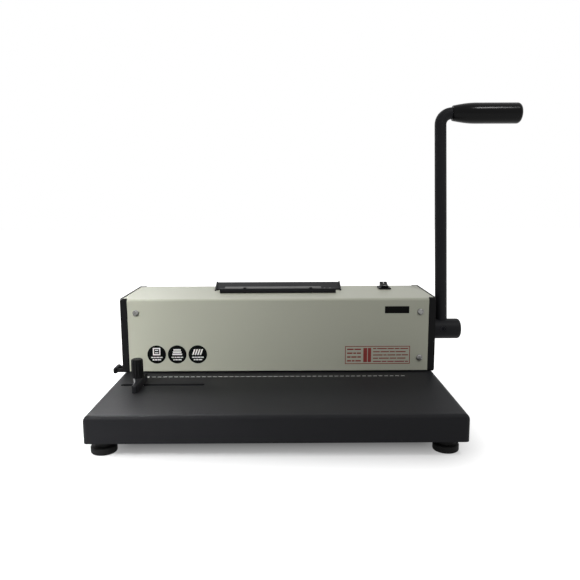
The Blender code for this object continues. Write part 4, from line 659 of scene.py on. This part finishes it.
def wind(shape, centre, low, high, radius):
    """A wire wound round an upright line, from its low to its high end."""
    count = SPRING_CURLS * CURL_STEPS
    half = SPRING_WIRE / 2
    rings = []
    for i in range(count + 1):
        turn = 2 * math.pi * i / CURL_STEPS
        outwards = Vector((math.cos(turn), math.sin(turn), 0))
        middle = Vector((*centre, low + half + (high - low - SPRING_WIRE) * i / count)) + radius * outwards
        ring = [outwards * math.cos(t) + Vector((0, 0, math.sin(t))) for t in turns_round(WIRE_SIDES)]
        rings.append([shape.verts.new(middle + half * point) for point in ring])
    join_rings(shape, rings)


for side in ("left", "right"):
    name = "return_spring_" + side
    low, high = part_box(name)
    centre = middle_of("guide_rod_" + side).xy
    shape = bmesh.new()
    wind(shape, centre, low.z, high.z, (high.y - low.y - SPRING_WIRE) / 2)
    spring = finish_piece(shape, "spring_" + side, "machine", ZINC, [name])
    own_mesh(spring)
print("spring length, m:", round(high.z - low.z, 4))

# %% [markdown]
# ## Screws
# The cover is held by four pan head screws with a cross recess, two at each end, and the rail of the
# trough by two small ones. A pan head is a low dome, so its profile is a curve, and the recess is
# cut into it afterwards. Each screw stopped at another turn, which keeps a row of screws from
# looking stamped. The one behind the knob was painted together with the cover.

# %% Screws
GAP = 0.0003
DOME_STEPS = 7
DOME_FOOT = 0.25
DOME_BOW = 0.7
TIP_SLIM = 0.6
CROSS_WIDTH = 0.28
CROSS_DEPTH = 0.65
COVER_SCREW = {"head": 0.0036, "shank": 0.002, "height": 0.0016, "reach": 0.0026}
RAIL_SCREW = {"head": 0.0021, "shank": 0.0009, "height": 0.0012, "reach": 0.0012}


def plus_sign(reach, half, turn):
    """The outline of a cross recess, turned as the screw was left by the screwdriver."""
    corner = [(reach, -half), (reach, half), (half, half)]
    outline = []
    for i in range(4):
        angle = math.pi / 2 * i + turn
        outline += [(u * math.cos(angle) - v * math.sin(angle), u * math.sin(angle) + v * math.cos(angle))
                    for u, v in corner]
    return outline


def add_screw(name, axis, centre, tip, top, turn, finish, head, shank, height, reach):
    """A screw along an axis, from its tip to the top of its head. Its cross has a reach and a turn."""
    side = 1 if top > tip else -1
    seat = top - side * height
    profile = [(tip, 0), (tip + side * shank / 2, shank * TIP_SLIM), (tip + side * shank, shank),
               (seat, shank), (seat, head), (seat + side * height * DOME_FOOT, head)]
    for i in range(1, DOME_STEPS):
        t = math.pi / 2 * i / DOME_STEPS
        rise = DOME_FOOT + (1 - DOME_FOOT) * math.sin(t)
        profile.append((seat + side * height * rise, head * math.cos(t) ** DOME_BOW))
    profile.append((top, 0))
    shape = bmesh.new()
    add_turned(shape, profile, axis, centre, sides=40)
    screw = finish_piece(shape, name + "_cross", "machine", finish, [name])
    recess = bmesh.new()
    outline = [(centre[0] + u, centre[1] + v) for u, v in plus_sign(reach, reach * CROSS_WIDTH, turn)]
    add_prism(recess, outline, axis, top + side * height, top - side * height * CROSS_DEPTH)
    cut_away(screw, recess)


COVER_SCREWS = {"cover_screw_top_left": 0.55, "cover_screw_low_left": 1.2,
                "cover_screw_top_right": 0.85, "cover_screw_low_right": 0.3}
for name, turn in COVER_SCREWS.items():
    low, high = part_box(name)
    finish = ENAMEL if name == "cover_screw_low_left" else DULL_ZINC
    add_screw(name, "y", middle_of(name).xz, high.y, low.y, turn, finish, **COVER_SCREW)
RAIL_SCREWS = {"lip_screw_left": 0.4, "lip_screw_right": 1.1}
for name, turn in RAIL_SCREWS.items():
    low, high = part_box(name)
    add_screw(name, "z", middle_of(name).xy, low.z, high.z, turn, POWDER_COAT, **RAIL_SCREW)
print("screws:", len(COVER_SCREWS) + len(RAIL_SCREWS))

# %% [markdown]
# ## Coil trough
# On top of the cover a ready book is laid on a sloped rest, and a soft roller winds the coil
# through its holes. The rail in front of the roller is a black bar with rounded edges.

# %% Rail
RAIL_ROUND = 0.0011
RAIL_SOFT = 0.00066
SMALLEST_RADIUS = 0.0002
RAIL_LOW, RAIL_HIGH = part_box("coil_lip")


def round_bar(us, vs, radii, inset=0.0):
    """A rectangle with one radius for its low and one for its high corners, drawn in by the inset."""
    low, high = (max(radius - inset, SMALLEST_RADIUS) for radius in radii)
    left, right = us[0] + inset, us[1] - inset
    bottom, top = vs[0] + inset, vs[1] - inset
    outline = arc((right - high, top - high), high, 0, 90, steps=5)
    outline += arc((left + high, top - high), high, 90, 180, steps=5)
    outline += arc((left + low, bottom + low), low, 180, 270, steps=5)
    outline += arc((right - low, bottom + low), low, 270, 360, steps=5)
    return outline


def round_box(low, high, corner, inset=0.0):
    return round_bar((low[0], high[0]), (low[1], high[1]), (corner, corner), inset)


def soften(shape, radius, steps=3):
    """Round every edge where two faces meet at more than a slight angle."""
    bmesh.ops.recalc_face_normals(shape, faces=shape.faces)
    sharp = [edge for edge in shape.edges if edge.calc_face_angle(0) > math.radians(35)]
    bmesh.ops.bevel(shape, geom=sharp, offset=radius, segments=steps, profile=0.5, affect="EDGES")


shape = bmesh.new()
add_prism(shape, round_box(RAIL_LOW.xy, RAIL_HIGH.xy, RAIL_ROUND), "z", RAIL_LOW.z, RAIL_HIGH.z)
soften(shape, RAIL_SOFT)
rail = finish_piece(shape, "coil_rail", "machine", POWDER_COAT, ["coil_lip"])
for name in RAIL_SCREWS:
    ends = (RAIL_LOW.z - GAP, RAIL_HIGH.z + GAP)
    drill(rail, "z", middle_of(name).xy, RAIL_SCREW["shank"] + GAP, ends, sides=24)
print("rail length, m:", round(RAIL_HIGH.x - RAIL_LOW.x, 4))

# %% [markdown]
# The roller's sleeve is a rubber tube on a steel spindle. It is turned like the grip, with a rounded
# edge at both ends, and its bore is part of the same profile, so that it stays open all through.

# %% Roller
SLEEVE_BORE = 0.0033
SLEEVE_EDGE = 0.0012
SLEEVE_RADIUS = 0.011
SLEEVE_LOW, SLEEVE_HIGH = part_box("roller_sleeve")
shoulder = SLEEVE_RADIUS - SLEEVE_EDGE
sleeve_profile = [(SLEEVE_LOW.x, SLEEVE_BORE)]
sleeve_profile += arc((SLEEVE_LOW.x + SLEEVE_EDGE, shoulder), SLEEVE_EDGE, 180, 90, steps=4)
sleeve_profile += arc((SLEEVE_HIGH.x - SLEEVE_EDGE, shoulder), SLEEVE_EDGE, 90, 0, steps=4)
sleeve_profile.append((SLEEVE_HIGH.x, SLEEVE_BORE))
shape = bmesh.new()
add_turned(shape, sleeve_profile, "x", middle_of("roller_spindle").yz, sides=96, hollow=True)
finish_piece(shape, "soft_roller", "roller", ROLLER_RUBBER, ["roller_sleeve"])
print("roller length, m:", round(SLEEVE_HIGH.x - SLEEVE_LOW.x, 4))

# %% [markdown]
# ## Switch
# A rocker switch clips into the cover: a shallow frame with a soft edge, a well below it, and the
# rocker with its two ends, marked with a stroke for on and a ring for off. The well is one body
# joined from ribs, outside up to the frame and down again on the inside.

# %% Switch frame
BEZEL_CORNER = 0.0016
BEZEL_ROUND = 0.0007
BEZEL_HEIGHT = 0.0017
BEZEL_LIP = 0.0013
SWITCH_WALL = 0.0013
SWITCH_WELL = 0.0095
SWITCH_LOW, SWITCH_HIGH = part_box("switch_body")


def edge_ribs(top, radius, count, rib):
    """The ribs of a rounded edge from its side up to its top. The rib function draws one, inset."""
    turns = [math.radians(90 * i / count) for i in range(count + 1)]
    return [(top - radius * (1 - math.sin(t)), rib(radius * (1 - math.cos(t)))) for t in turns]


def switch_rib(inset):
    return round_box(SWITCH_LOW.xy, SWITCH_HIGH.xy, BEZEL_CORNER, inset)


seat = SWITCH_HIGH.z - BEZEL_HEIGHT
inside = switch_rib(BEZEL_LIP + SWITCH_WALL)
ribs = [(SWITCH_LOW.z, switch_rib(BEZEL_LIP)), (seat, switch_rib(BEZEL_LIP)), (seat, switch_rib(0))]
ribs += edge_ribs(SWITCH_HIGH.z, BEZEL_ROUND, 4, switch_rib)
ribs += [(SWITCH_HIGH.z, inside), (seat - SWITCH_WELL, inside)]
shape = bmesh.new()
add_ribbed(shape, ribs, "z")
finish_piece(shape, "switch_frame", "machine", MOULDED, ["switch_body"])
print("switch frame, m:", [round(side, 4) for side in (SWITCH_HIGH - SWITCH_LOW).xy])

# %% [markdown]
# The rocker's top is hollow, so that a finger finds each end. The outline is drawn level, softened,
# and tilted about its pin, as it stands when the machine is off.

# %% Rocker
ROCKER_HALF = 0.008
ROCKER_TOP = 0.0039
ROCKER_HOLLOW = 0.0013
ROCKER_FOOT = (0.0040, -0.0050)
ROCKER_SIDE = (0.0072, -0.0013)
ROCKER_WIDE = 0.0046
ROCKER_SOFT = 0.0005
ROCKER_TILT = math.radians(12)
PIN_ABOVE_BEZEL = 0.0003
ROCKER_STEPS = 8
pin = Vector((middle_of("switch_rocker").x, middle_of("switch_body").y, SWITCH_HIGH.z + PIN_ABOVE_BEZEL))


def hollow(u):
    """The height of the rocker's top at a distance from its pin."""
    return ROCKER_TOP - ROCKER_HOLLOW * (1 - (u / ROCKER_HALF) ** 2)


def tilted(piece):
    """Tilt a piece about the pin, in its mesh, so that the piece itself stays at the origin."""
    piece.data.transform(Matrix.Translation(pin) @ Matrix.Rotation(ROCKER_TILT, 4, "X"))


rocker_outline = [(-ROCKER_SIDE[0], ROCKER_SIDE[1]), (-ROCKER_FOOT[0], ROCKER_FOOT[1])]
rocker_outline += [ROCKER_FOOT, ROCKER_SIDE]
for i in range(ROCKER_STEPS, -ROCKER_STEPS - 1, -1):
    u = ROCKER_HALF * i / ROCKER_STEPS
    rocker_outline.append((u, hollow(u)))
shape = bmesh.new()
add_prism(shape, rocker_outline, "x", -ROCKER_WIDE, ROCKER_WIDE)
soften(shape, ROCKER_SOFT)
tilted(finish_piece(shape, "rocker_cap", "rocker", MOULDED, ["switch_rocker"]))
print("rocker tilt, degrees:", round(math.degrees(ROCKER_TILT)))

# %% [markdown]
# A stroke stands for on and a ring for off. Both are thin films whose points take their height from
# the hollow, so that they lie on it everywhere, and they are tilted together with the rocker.

# %% Rocker marks
MARK_LIFT = 0.00008
STROKE_HALF = 0.0005
MARK_NEAR, MARK_FAR = 0.0034, 0.0070
RING_RADII = (0.0016, 0.0010)
RING_SIDES = 32


def disc(centre, radius, sides=64):
    return arc(centre, radius, 0, 360, sides)[:-1]


shape = bmesh.new()
stroke_us = [MARK_NEAR + (MARK_FAR - MARK_NEAR) * i / 4 for i in range(5)]
stroke = [(u, hollow(u)) for u in stroke_us] + [(u, hollow(u) + MARK_LIFT) for u in reversed(stroke_us)]
add_prism(shape, stroke, "x", -STROKE_HALF, STROKE_HALF)
rings = []
for lift in (0, MARK_LIFT):
    for radius in RING_RADII:
        points = disc((0, -(MARK_NEAR + MARK_FAR) / 2), radius, RING_SIDES)
        rings.append([shape.verts.new((x, y, hollow(y) + lift)) for x, y in points])
outer, inner, outer_top, inner_top = rings
for first, second in ((outer, inner), (inner, inner_top), (inner_top, outer_top), (outer_top, outer)):
    join_pair(shape, first, second)
tilted(finish_piece(shape, "rocker_marks", "rocker", WHITE_INK))
print("ring radii, m:", RING_RADII)

# %% [markdown]
# ## Power inlet
# The mains lead plugs into the back: a moulded frame with three metal blades in a deep well. Two of
# the well's corners are cut back more, so that the plug fits one way only. It is joined from ribs
# like the switch.

# %% Inlet
INLET_LOW, INLET_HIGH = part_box("power_inlet")
INLET_FLANGE = 0.0025
INLET_CORNER = 0.0028
INLET_WALL = 0.0014
INLET_HALF = (0.01225, 0.0086)
INLET_FLOOR = 0.002
INLET_ROUND = 0.0009
WELL_RADII = (0.001, 0.005)
inlet_x, inlet_z = middle_of("power_inlet").xz


def around(middle, half):
    return (middle - half, middle + half)


def well_rib(wall):
    half = (INLET_HALF[0] + wall, INLET_HALF[1] + wall)
    return round_bar(around(inlet_x, half[0]), around(inlet_z, half[1]), WELL_RADII)


def flange_rib(inset):
    return round_box(INLET_LOW.xz, INLET_HIGH.xz, INLET_CORNER, inset)


face = INLET_HIGH.y - INLET_FLANGE
ribs = [(INLET_LOW.y, well_rib(INLET_WALL)), (face, well_rib(INLET_WALL)), (face, flange_rib(0))]
ribs += edge_ribs(INLET_HIGH.y, INLET_ROUND, 3, flange_rib)
ribs += [(INLET_HIGH.y, well_rib(0)), (INLET_LOW.y + INLET_FLOOR, well_rib(0))]
shape = bmesh.new()
add_ribbed(shape, ribs, "y")
finish_piece(shape, "inlet_housing", "machine", MOULDED, ["power_inlet"])
print("inlet depth, m:", round(INLET_HIGH.y - INLET_LOW.y, 4))

# %% [markdown]
# The three blades are a piece of their own, because they are bare metal. They stand on the well's
# floor and end 2.5 mm behind the face of the flange, so that no finger touches them.

# %% Inlet blades
BLADE_HALF = (0.001, 0.0018)
BLADE_SOFT = 0.0004
BLADE_RECESS = 0.0025
BLADE_PLACES = ((-0.007, -0.002), (0.0, 0.002), (0.007, -0.002))


def bar(us, vs):
    return [(us[0], vs[0]), (us[1], vs[0]), (us[1], vs[1]), (us[0], vs[1])]


shape = bmesh.new()
for x, z in BLADE_PLACES:
    outline = bar(around(inlet_x + x, BLADE_HALF[0]), around(inlet_z + z, BLADE_HALF[1]))
    add_prism(shape, outline, "y", INLET_LOW.y + INLET_FLOOR, INLET_HIGH.y - BLADE_RECESS)
soften(shape, BLADE_SOFT)
finish_piece(shape, "inlet_blades", "machine", ZINC)
print("inlet blades:", len(BLADE_PLACES))

# %% [markdown]
# ## Paper guide
# A steel stop slides in a slot at the left and lines up the sheets. Its left side is drawn in to a
# round tip with a double curve, and its edges are rounded so that they don't mark the paper. Lighter
# steel on its curved rim paints a highlight there. A fluted knob on a stud clamps it.

# %% Paper stop
STOP_TIP = 0.0058
STOP_CURVE = (0.040, 0.008)
STOP_TIP_ROUND = 0.0024
STOP_ROUND = 0.0018
STOP_STEPS = 24
HIGHLIGHT_SPAN = (0.036, 0.004)
HIGHLIGHT_LEFT = -0.15
HIGHLIGHT_UP = (0.15, 0.93)
STOP_BORE = 0.0028
STOP_LOW, STOP_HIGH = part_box("edge_guide")
knob_centre = middle_of("guide_knob").xy


def drawn_in(outline, inset):
    """An outline, drawn anticlockwise, moved inwards by the same distance all round."""
    moved = []
    for i, here in enumerate(outline):
        before, after = outline[i - 1], outline[(i + 1) % len(outline)]
        first = (Vector(here) - Vector(before)).normalized()
        second = (Vector(after) - Vector(here)).normalized()
        across = Vector((-first.y - second.y, first.x + second.x))
        moved.append(tuple(Vector(here) + across * (2 * inset / across.length_squared)))
    return moved


tip_x = STOP_HIGH.x - STOP_TIP
stop_outline = [(STOP_HIGH.x, STOP_HIGH.y), (STOP_LOW.x, STOP_HIGH.y)]
for i in range(STOP_STEPS + 1):
    t = i / STOP_STEPS
    inwards = (tip_x - STOP_LOW.x) * (0.5 - 0.5 * math.cos(t * math.pi))
    forward = STOP_CURVE[0] + (STOP_CURVE[1] - STOP_CURVE[0]) * t
    stop_outline.append((STOP_LOW.x + inwards, STOP_LOW.y + forward))
tip_y = STOP_LOW.y + STOP_TIP_ROUND
stop_outline += arc((tip_x + STOP_TIP_ROUND, tip_y), STOP_TIP_ROUND, 180, 270)
stop_outline += arc((STOP_HIGH.x - STOP_TIP_ROUND, tip_y), STOP_TIP_ROUND, 270, 360)
ribs = [(STOP_LOW.z, stop_outline)]
ribs += edge_ribs(STOP_HIGH.z, STOP_ROUND, 5, lambda inset: drawn_in(stop_outline, inset))
shape = bmesh.new()
add_ribbed(shape, ribs, "z")
bmesh.ops.recalc_face_normals(shape, faces=shape.faces)
# Faces on the left rim take the lighter steel, which paints a highlight there.
for face in shape.faces:
    forward = face.calc_center_median().y - STOP_LOW.y
    on_rim = face.normal.x < HIGHLIGHT_LEFT and HIGHLIGHT_UP[0] < face.normal.z < HIGHLIGHT_UP[1]
    face.material_index = int(on_rim and HIGHLIGHT_SPAN[1] < forward < HIGHLIGHT_SPAN[0])
stop = finish_piece(shape, "paper_stop", "guide", POWDER_COAT, ["edge_guide"])
stop.data.materials.append(HIGHLIGHT_STEEL)
drill(stop, "z", knob_centre, STOP_BORE, (STOP_LOW.z - GAP, STOP_HIGH.z + GAP))
# Counts the faces that carry the painted highlight.
print("rubbed faces:", sum(face.material_index for face in stop.data.polygons))

# %% [markdown]
# The knob's side carries twelve flutes for the fingers. Each ring of the turned profile is drawn in
# by a wave, which fades out towards the foot and the top, so that both stay round.

# %% Knob
KNOB_RADIUS = 0.0067
KNOB_TOP_RADIUS = 0.0064
KNOB_TALL = 0.020
KNOB_ROUND = 0.0015
KNOB_STUD = 0.0025
KNOB_DISH = 0.0008
KNOB_STEPS = 8
FLUTES = 12
FLUTE_DEPTH = 0.0009
FLUTE_FADE = 0.0022
KNOB_LOW, KNOB_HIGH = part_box("guide_knob")
knob_seat = KNOB_HIGH.z - KNOB_TALL


def flute(height, turn):
    """How deep the side is cut at a height and a turn."""
    inside = min(height - knob_seat, KNOB_HIGH.z - height) / FLUTE_FADE
    fade = min(max(inside, 0), 1)
    return FLUTE_DEPTH * fade * (0.5 - 0.5 * math.cos(FLUTES * turn))


knob_profile = [(KNOB_LOW.z, 0), (KNOB_LOW.z, KNOB_STUD), (knob_seat, KNOB_STUD), (knob_seat, KNOB_RADIUS)]
for i in range(1, KNOB_STEPS + 1):
    t = i / KNOB_STEPS
    height = knob_seat + (KNOB_TALL - KNOB_ROUND) * t
    knob_profile.append((height, KNOB_RADIUS + (KNOB_TOP_RADIUS - KNOB_RADIUS) * t))
rim = arc((KNOB_TOP_RADIUS - KNOB_ROUND, KNOB_HIGH.z - KNOB_ROUND), KNOB_ROUND, 0, 90, steps=5)
knob_profile += [(height, radius) for radius, height in rim[1:]]
knob_profile.append((KNOB_HIGH.z - KNOB_DISH, 0))
shape = bmesh.new()
add_turned(shape, knob_profile, "z", knob_centre, sides=96, flute=flute)
finish_piece(shape, "fluted_knob", "knob", MOULDED, ["guide_knob"])
print("flutes:", FLUTES)

# %% [markdown]
# ## Tray pull
# The tray for the punched chips slides out at the left. Its pull is a small bar on two posts, with
# all its edges rounded.

# %% Pull
PULL_THICK = 0.0044
PULL_CORNER = 0.0028
PULL_ROUND = 0.0014
POST_RADIUS = 0.0023
POST_FLARE = 0.0006
POST_SPREAD = 0.007
PULL_LOW, PULL_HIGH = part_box("tray_pull")
pull_inner = PULL_LOW.x + PULL_THICK


def pull_rib(inset):
    return round_box(PULL_LOW.yz, PULL_HIGH.yz, PULL_CORNER, inset)


far_ribs = edge_ribs(pull_inner, PULL_ROUND, 5, pull_rib)
near_ribs = [(PULL_LOW.x + pull_inner - x, outline) for x, outline in reversed(far_ribs)]
shape = bmesh.new()
add_ribbed(shape, near_ribs + far_ribs, "x")
pull_y, pull_z = middle_of("tray_pull").yz
post_end = POST_RADIUS - POST_FLARE / 2
post = [(pull_inner, 0), (pull_inner, POST_RADIUS), (PULL_HIGH.x - 2 * POST_FLARE, POST_RADIUS),
        (PULL_HIGH.x - POST_FLARE, post_end), (PULL_HIGH.x, post_end), (PULL_HIGH.x, 0)]
for y in around(pull_y, POST_SPREAD):
    add_turned(shape, post, "x", (y, pull_z), sides=32)
finish_piece(shape, "tray_grip", "tray", MOULDED, ["tray_pull"])
print("pull length, m:", round(PULL_HIGH.y - PULL_LOW.y, 4))

# %% [markdown]
# ## Feet
# Each foot is a rubber disc with a recess below, a narrower neck above it, and a stud on top that
# holds it in the base. Its edges are rounded as the mould leaves them.

# %% Feet
FOOT_RADIUS = 0.0125
FOOT_ROUND = 0.0016
FOOT_DISC = 0.0072
FOOT_NECK = 0.0088
FOOT_TALL = 0.0147
FOOT_RECESS = (0.004, 0.003)
FOOT_SOFT = 0.0004
FOOT_STUD = 0.002
FEET = ["foot_front_left", "foot_front_right", "foot_rear_left", "foot_rear_right"]

below = [(FOOT_RECESS[1], 0), (FOOT_RECESS[1], FOOT_RECESS[0]), (FOOT_SOFT, FOOT_RECESS[0])]
below.append((0, FOOT_RECESS[0] + FOOT_SOFT))
rim = arc((FOOT_RADIUS - FOOT_ROUND, FOOT_ROUND), FOOT_ROUND, -90, 0, steps=5)
rim += arc((FOOT_RADIUS - FOOT_ROUND, FOOT_DISC - FOOT_ROUND), FOOT_ROUND, 0, 90, steps=5)
rim += arc((FOOT_NECK + FOOT_ROUND / 2, FOOT_DISC + FOOT_ROUND / 2), FOOT_ROUND / 2, 270, 180, steps=4)
below += [(height, radius) for radius, height in rim]
for name in FEET:
    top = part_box(name)[1].z
    profile = below + [(FOOT_TALL, FOOT_NECK), (FOOT_TALL, FOOT_STUD), (top, FOOT_STUD), (top, 0)]
    foot = bmesh.new()
    add_turned(foot, profile, "z", middle_of(name).xy, sides=72)
    finish_piece(foot, name.replace("foot", "rubber_foot"), "machine", RUBBER, [name])
print("foot width, m:", round(2 * FOOT_RADIUS, 4))

# %% [markdown]
# ## Prints on the cover
# Three round black prints with white signs stand at the lower left of the cover, a black plate at
# the upper right and a panel ruled in thin red lines at the lower right. Each is a film a tenth of
# a millimetre thick on the cover's front. The signs are plain ones: a page, a stack and a coil.

# %% Prints
FILM = 0.0001


def from_middle(*xs):
    """Places along the cover, given from its middle."""
    return [COVER_MIDDLE + x for x in xs]


def print_on_cover(name, outlines, level, ink):
    """Films on the cover's front face. Level 1 lies on the paint, and level 2 on a film of level 1."""
    shape = bmesh.new()
    back = COVER_FRONT - FILM * (level - 1)
    for outline in outlines:
        add_prism(shape, outline, "y", back, back - FILM)
    finish_piece(shape, name, "machine", ink)


def broken_rule(xs, z, half, dashes, space=0.0006):
    """A row of dashes that fills a width, with lengths in the proportion of the numbers given."""
    free = xs[1] - xs[0] - space * (len(dashes) - 1)
    row = []
    start = xs[0]
    for share in dashes:
        end = start + free * share / sum(dashes)
        row.append(bar((start, end), around(z, half)))
        start = end + space
    return row


# %% [markdown]
# The three round prints are plain black discs in a row, all at one height. They lie on the paint
# itself, and their white signs come on top of them.

# %% Round prints
BADGE_RADIUS = 0.0107
BADGE_XS = from_middle(-0.1403, -0.1167, -0.0930)
BADGE_Z = 0.0632
badge_places = [(x, BADGE_Z) for x in BADGE_XS]
badges = [disc(place, BADGE_RADIUS) for place in badge_places]
print_on_cover("badge_discs", badges, 1, BLACK_INK)
print("round prints:", len(badges))

# %% [markdown]
# Four thin bars draw the page, and short bars stand for its lines and for the sheets of a stack. The
# coil is a row of slanted strokes, as coils are drawn on such machines. Two broken rules run below
# each sign.

# %% Signs
PAGE_HALF = 0.0043
PAGE_FOOT, PAGE_HEAD = -0.0008, 0.0078
PAGE_EDGE = 0.0013
LINE_HALF = (0.0019, 0.0005)
LINE_HEIGHTS = (0.0021, 0.0049)
SHEET_HALF = (0.0056, 0.0009)
SHEET_FOOT, SHEET_STEP, SHEET_LESS = 0.0002, 0.0026, 0.0007
COIL_START, COIL_PITCH = -0.0066, 0.0029
COIL_FOOT, COIL_HEAD = -0.0006, 0.0062
COIL_WIDE, COIL_LEAN = 0.0017, 0.0024


def frame_bars(xs, zs, width):
    """The four bars of a thin frame, none on top of another."""
    inner = (zs[0] + width, zs[1] - width)
    return [bar(xs, (zs[0], inner[0])), bar(xs, (inner[1], zs[1])),
            bar((xs[0], xs[0] + width), inner), bar((xs[1] - width, xs[1]), inner)]


def page_sign(x, z):
    bars = frame_bars(around(x, PAGE_HALF), (z + PAGE_FOOT, z + PAGE_HEAD), PAGE_EDGE)
    return bars + [bar(around(x, LINE_HALF[0]), around(z + height, LINE_HALF[1])) for height in LINE_HEIGHTS]


def stack_sign(x, z):
    bars = []
    for i in range(3):
        height = SHEET_FOOT + SHEET_STEP * i
        bars.append(bar(around(x, SHEET_HALF[0] - SHEET_LESS * i), around(z + height, SHEET_HALF[1])))
    return bars


def coil_sign(x, z):
    strokes = []
    for left in [x + COIL_START + COIL_PITCH * i for i in range(4)]:
        strokes.append([(left, z + COIL_FOOT), (left + COIL_WIDE, z + COIL_FOOT),
                        (left + COIL_LEAN + COIL_WIDE, z + COIL_HEAD), (left + COIL_LEAN, z + COIL_HEAD)])
    return strokes


RULE_HALF = 0.0006
RULE_ROWS = ((0.0066, -0.0034, (3, 2, 4, 3)), (0.0048, -0.0062, (2, 3, 4)))
signs = []
for sign, (x, z) in zip((page_sign, stack_sign, coil_sign), badge_places):
    signs += sign(x, z)
    for half, drop, dashes in RULE_ROWS:
        signs += broken_rule(around(x, half), z + drop, RULE_HALF, dashes)
print_on_cover("badge_signs", signs, 2, WHITE_INK)
print("signs drawn:", len(signs))

# %% [markdown]
# The black plate is bare. The red panel is a plain ruled table: a frame, two solid upright blocks and
# short broken rules for its rows, with nothing written in it.

# %% Plate and ruled panel
PLATE_XS = from_middle(0.1218, 0.1496)
PLATE_ZS = (0.1103, 0.1184)
PANEL_XS = from_middle(0.0767, 0.1516)
PANEL_ZS = (0.0508, 0.0720)
PANEL_MARGIN = 0.0022
RULE = 0.0008
RULE_SPACE = 0.0009
BLOCKS = ((0.0978, 0.1022), (0.1030, 0.1068))
LEFT_XS = from_middle(0.0790, 0.0950)
LEFT_ROWS = ((3, 2, 4), (2, 3, 2), (4, 2, 3), (3, 3))
RIGHT_XS = from_middle(0.1090, 0.1496)
RIGHT_ROWS = ((5, 3, 4, 6, 2), (3, 6, 4, 5), (6, 2, 5, 3, 4), (4, 5, 3, 6), (2, 6, 4, 3, 5))
panel_low, panel_high = PANEL_ZS[0] + PANEL_MARGIN, PANEL_ZS[1] - PANEL_MARGIN


def ruled_rows(xs, rows, inset, half, ragged=0.0):
    """Broken rules one above the other, between the panel's margins and an inset."""
    bars = []
    for i, dashes in enumerate(rows):
        z = panel_low + inset + (panel_high - panel_low - 2 * inset) * i / (len(rows) - 1)
        bars += broken_rule((xs[0], xs[1] - ragged * (i % 2)), z, half, dashes, RULE_SPACE)
    return bars


print_on_cover("plain_plate", [bar(PLATE_XS, PLATE_ZS)], 1, BLACK_INK)
panel = frame_bars(PANEL_XS, PANEL_ZS, RULE)
panel += ruled_rows(LEFT_XS, LEFT_ROWS, inset=0.0016, half=0.0008)
panel += ruled_rows(RIGHT_XS, RIGHT_ROWS, inset=0.0008, half=0.0006, ragged=0.0030)
panel += [bar(from_middle(*xs), (panel_low, panel_high)) for xs in BLOCKS]
print_on_cover("ruled_panel", panel, 1, RED_INK)
print("panel bars:", len(panel))

# %% [markdown]
# ## Marks on the table
# A row of short white dashes on the table, one for each hole of the punch, shows where the holes
# will fall in the paper. A small plain arrow stands at the row's left end.

# %% Hole marks
MARK_COUNT = 46
MARK_PITCH = 0.00625
MARK_LENGTH = 0.0042
MARK_WIDTH = 0.0009
MARK_Y = -0.0168
ARROW_TIP, ARROW_BACK = 0.0085, 0.0050
ARROW_HALF = 0.0018

marks = bmesh.new()
mark_y = COVER_FRONT + MARK_Y
first = COVER_MIDDLE - MARK_PITCH * (MARK_COUNT - 1) / 2
for i in range(MARK_COUNT):
    outline = bar(around(first + MARK_PITCH * i, MARK_LENGTH / 2), around(mark_y, MARK_WIDTH / 2))
    add_prism(marks, outline, "z", TABLE_TOP, TABLE_TOP + FILM)
back = first - ARROW_BACK
arrow = [(first - ARROW_TIP, mark_y), (back, mark_y - ARROW_HALF), (back, mark_y + ARROW_HALF)]
add_prism(marks, arrow, "z", TABLE_TOP, TABLE_TOP + FILM)
finish_piece(marks, "hole_marks", "machine", WHITE_INK)
print("hole marks:", MARK_COUNT)
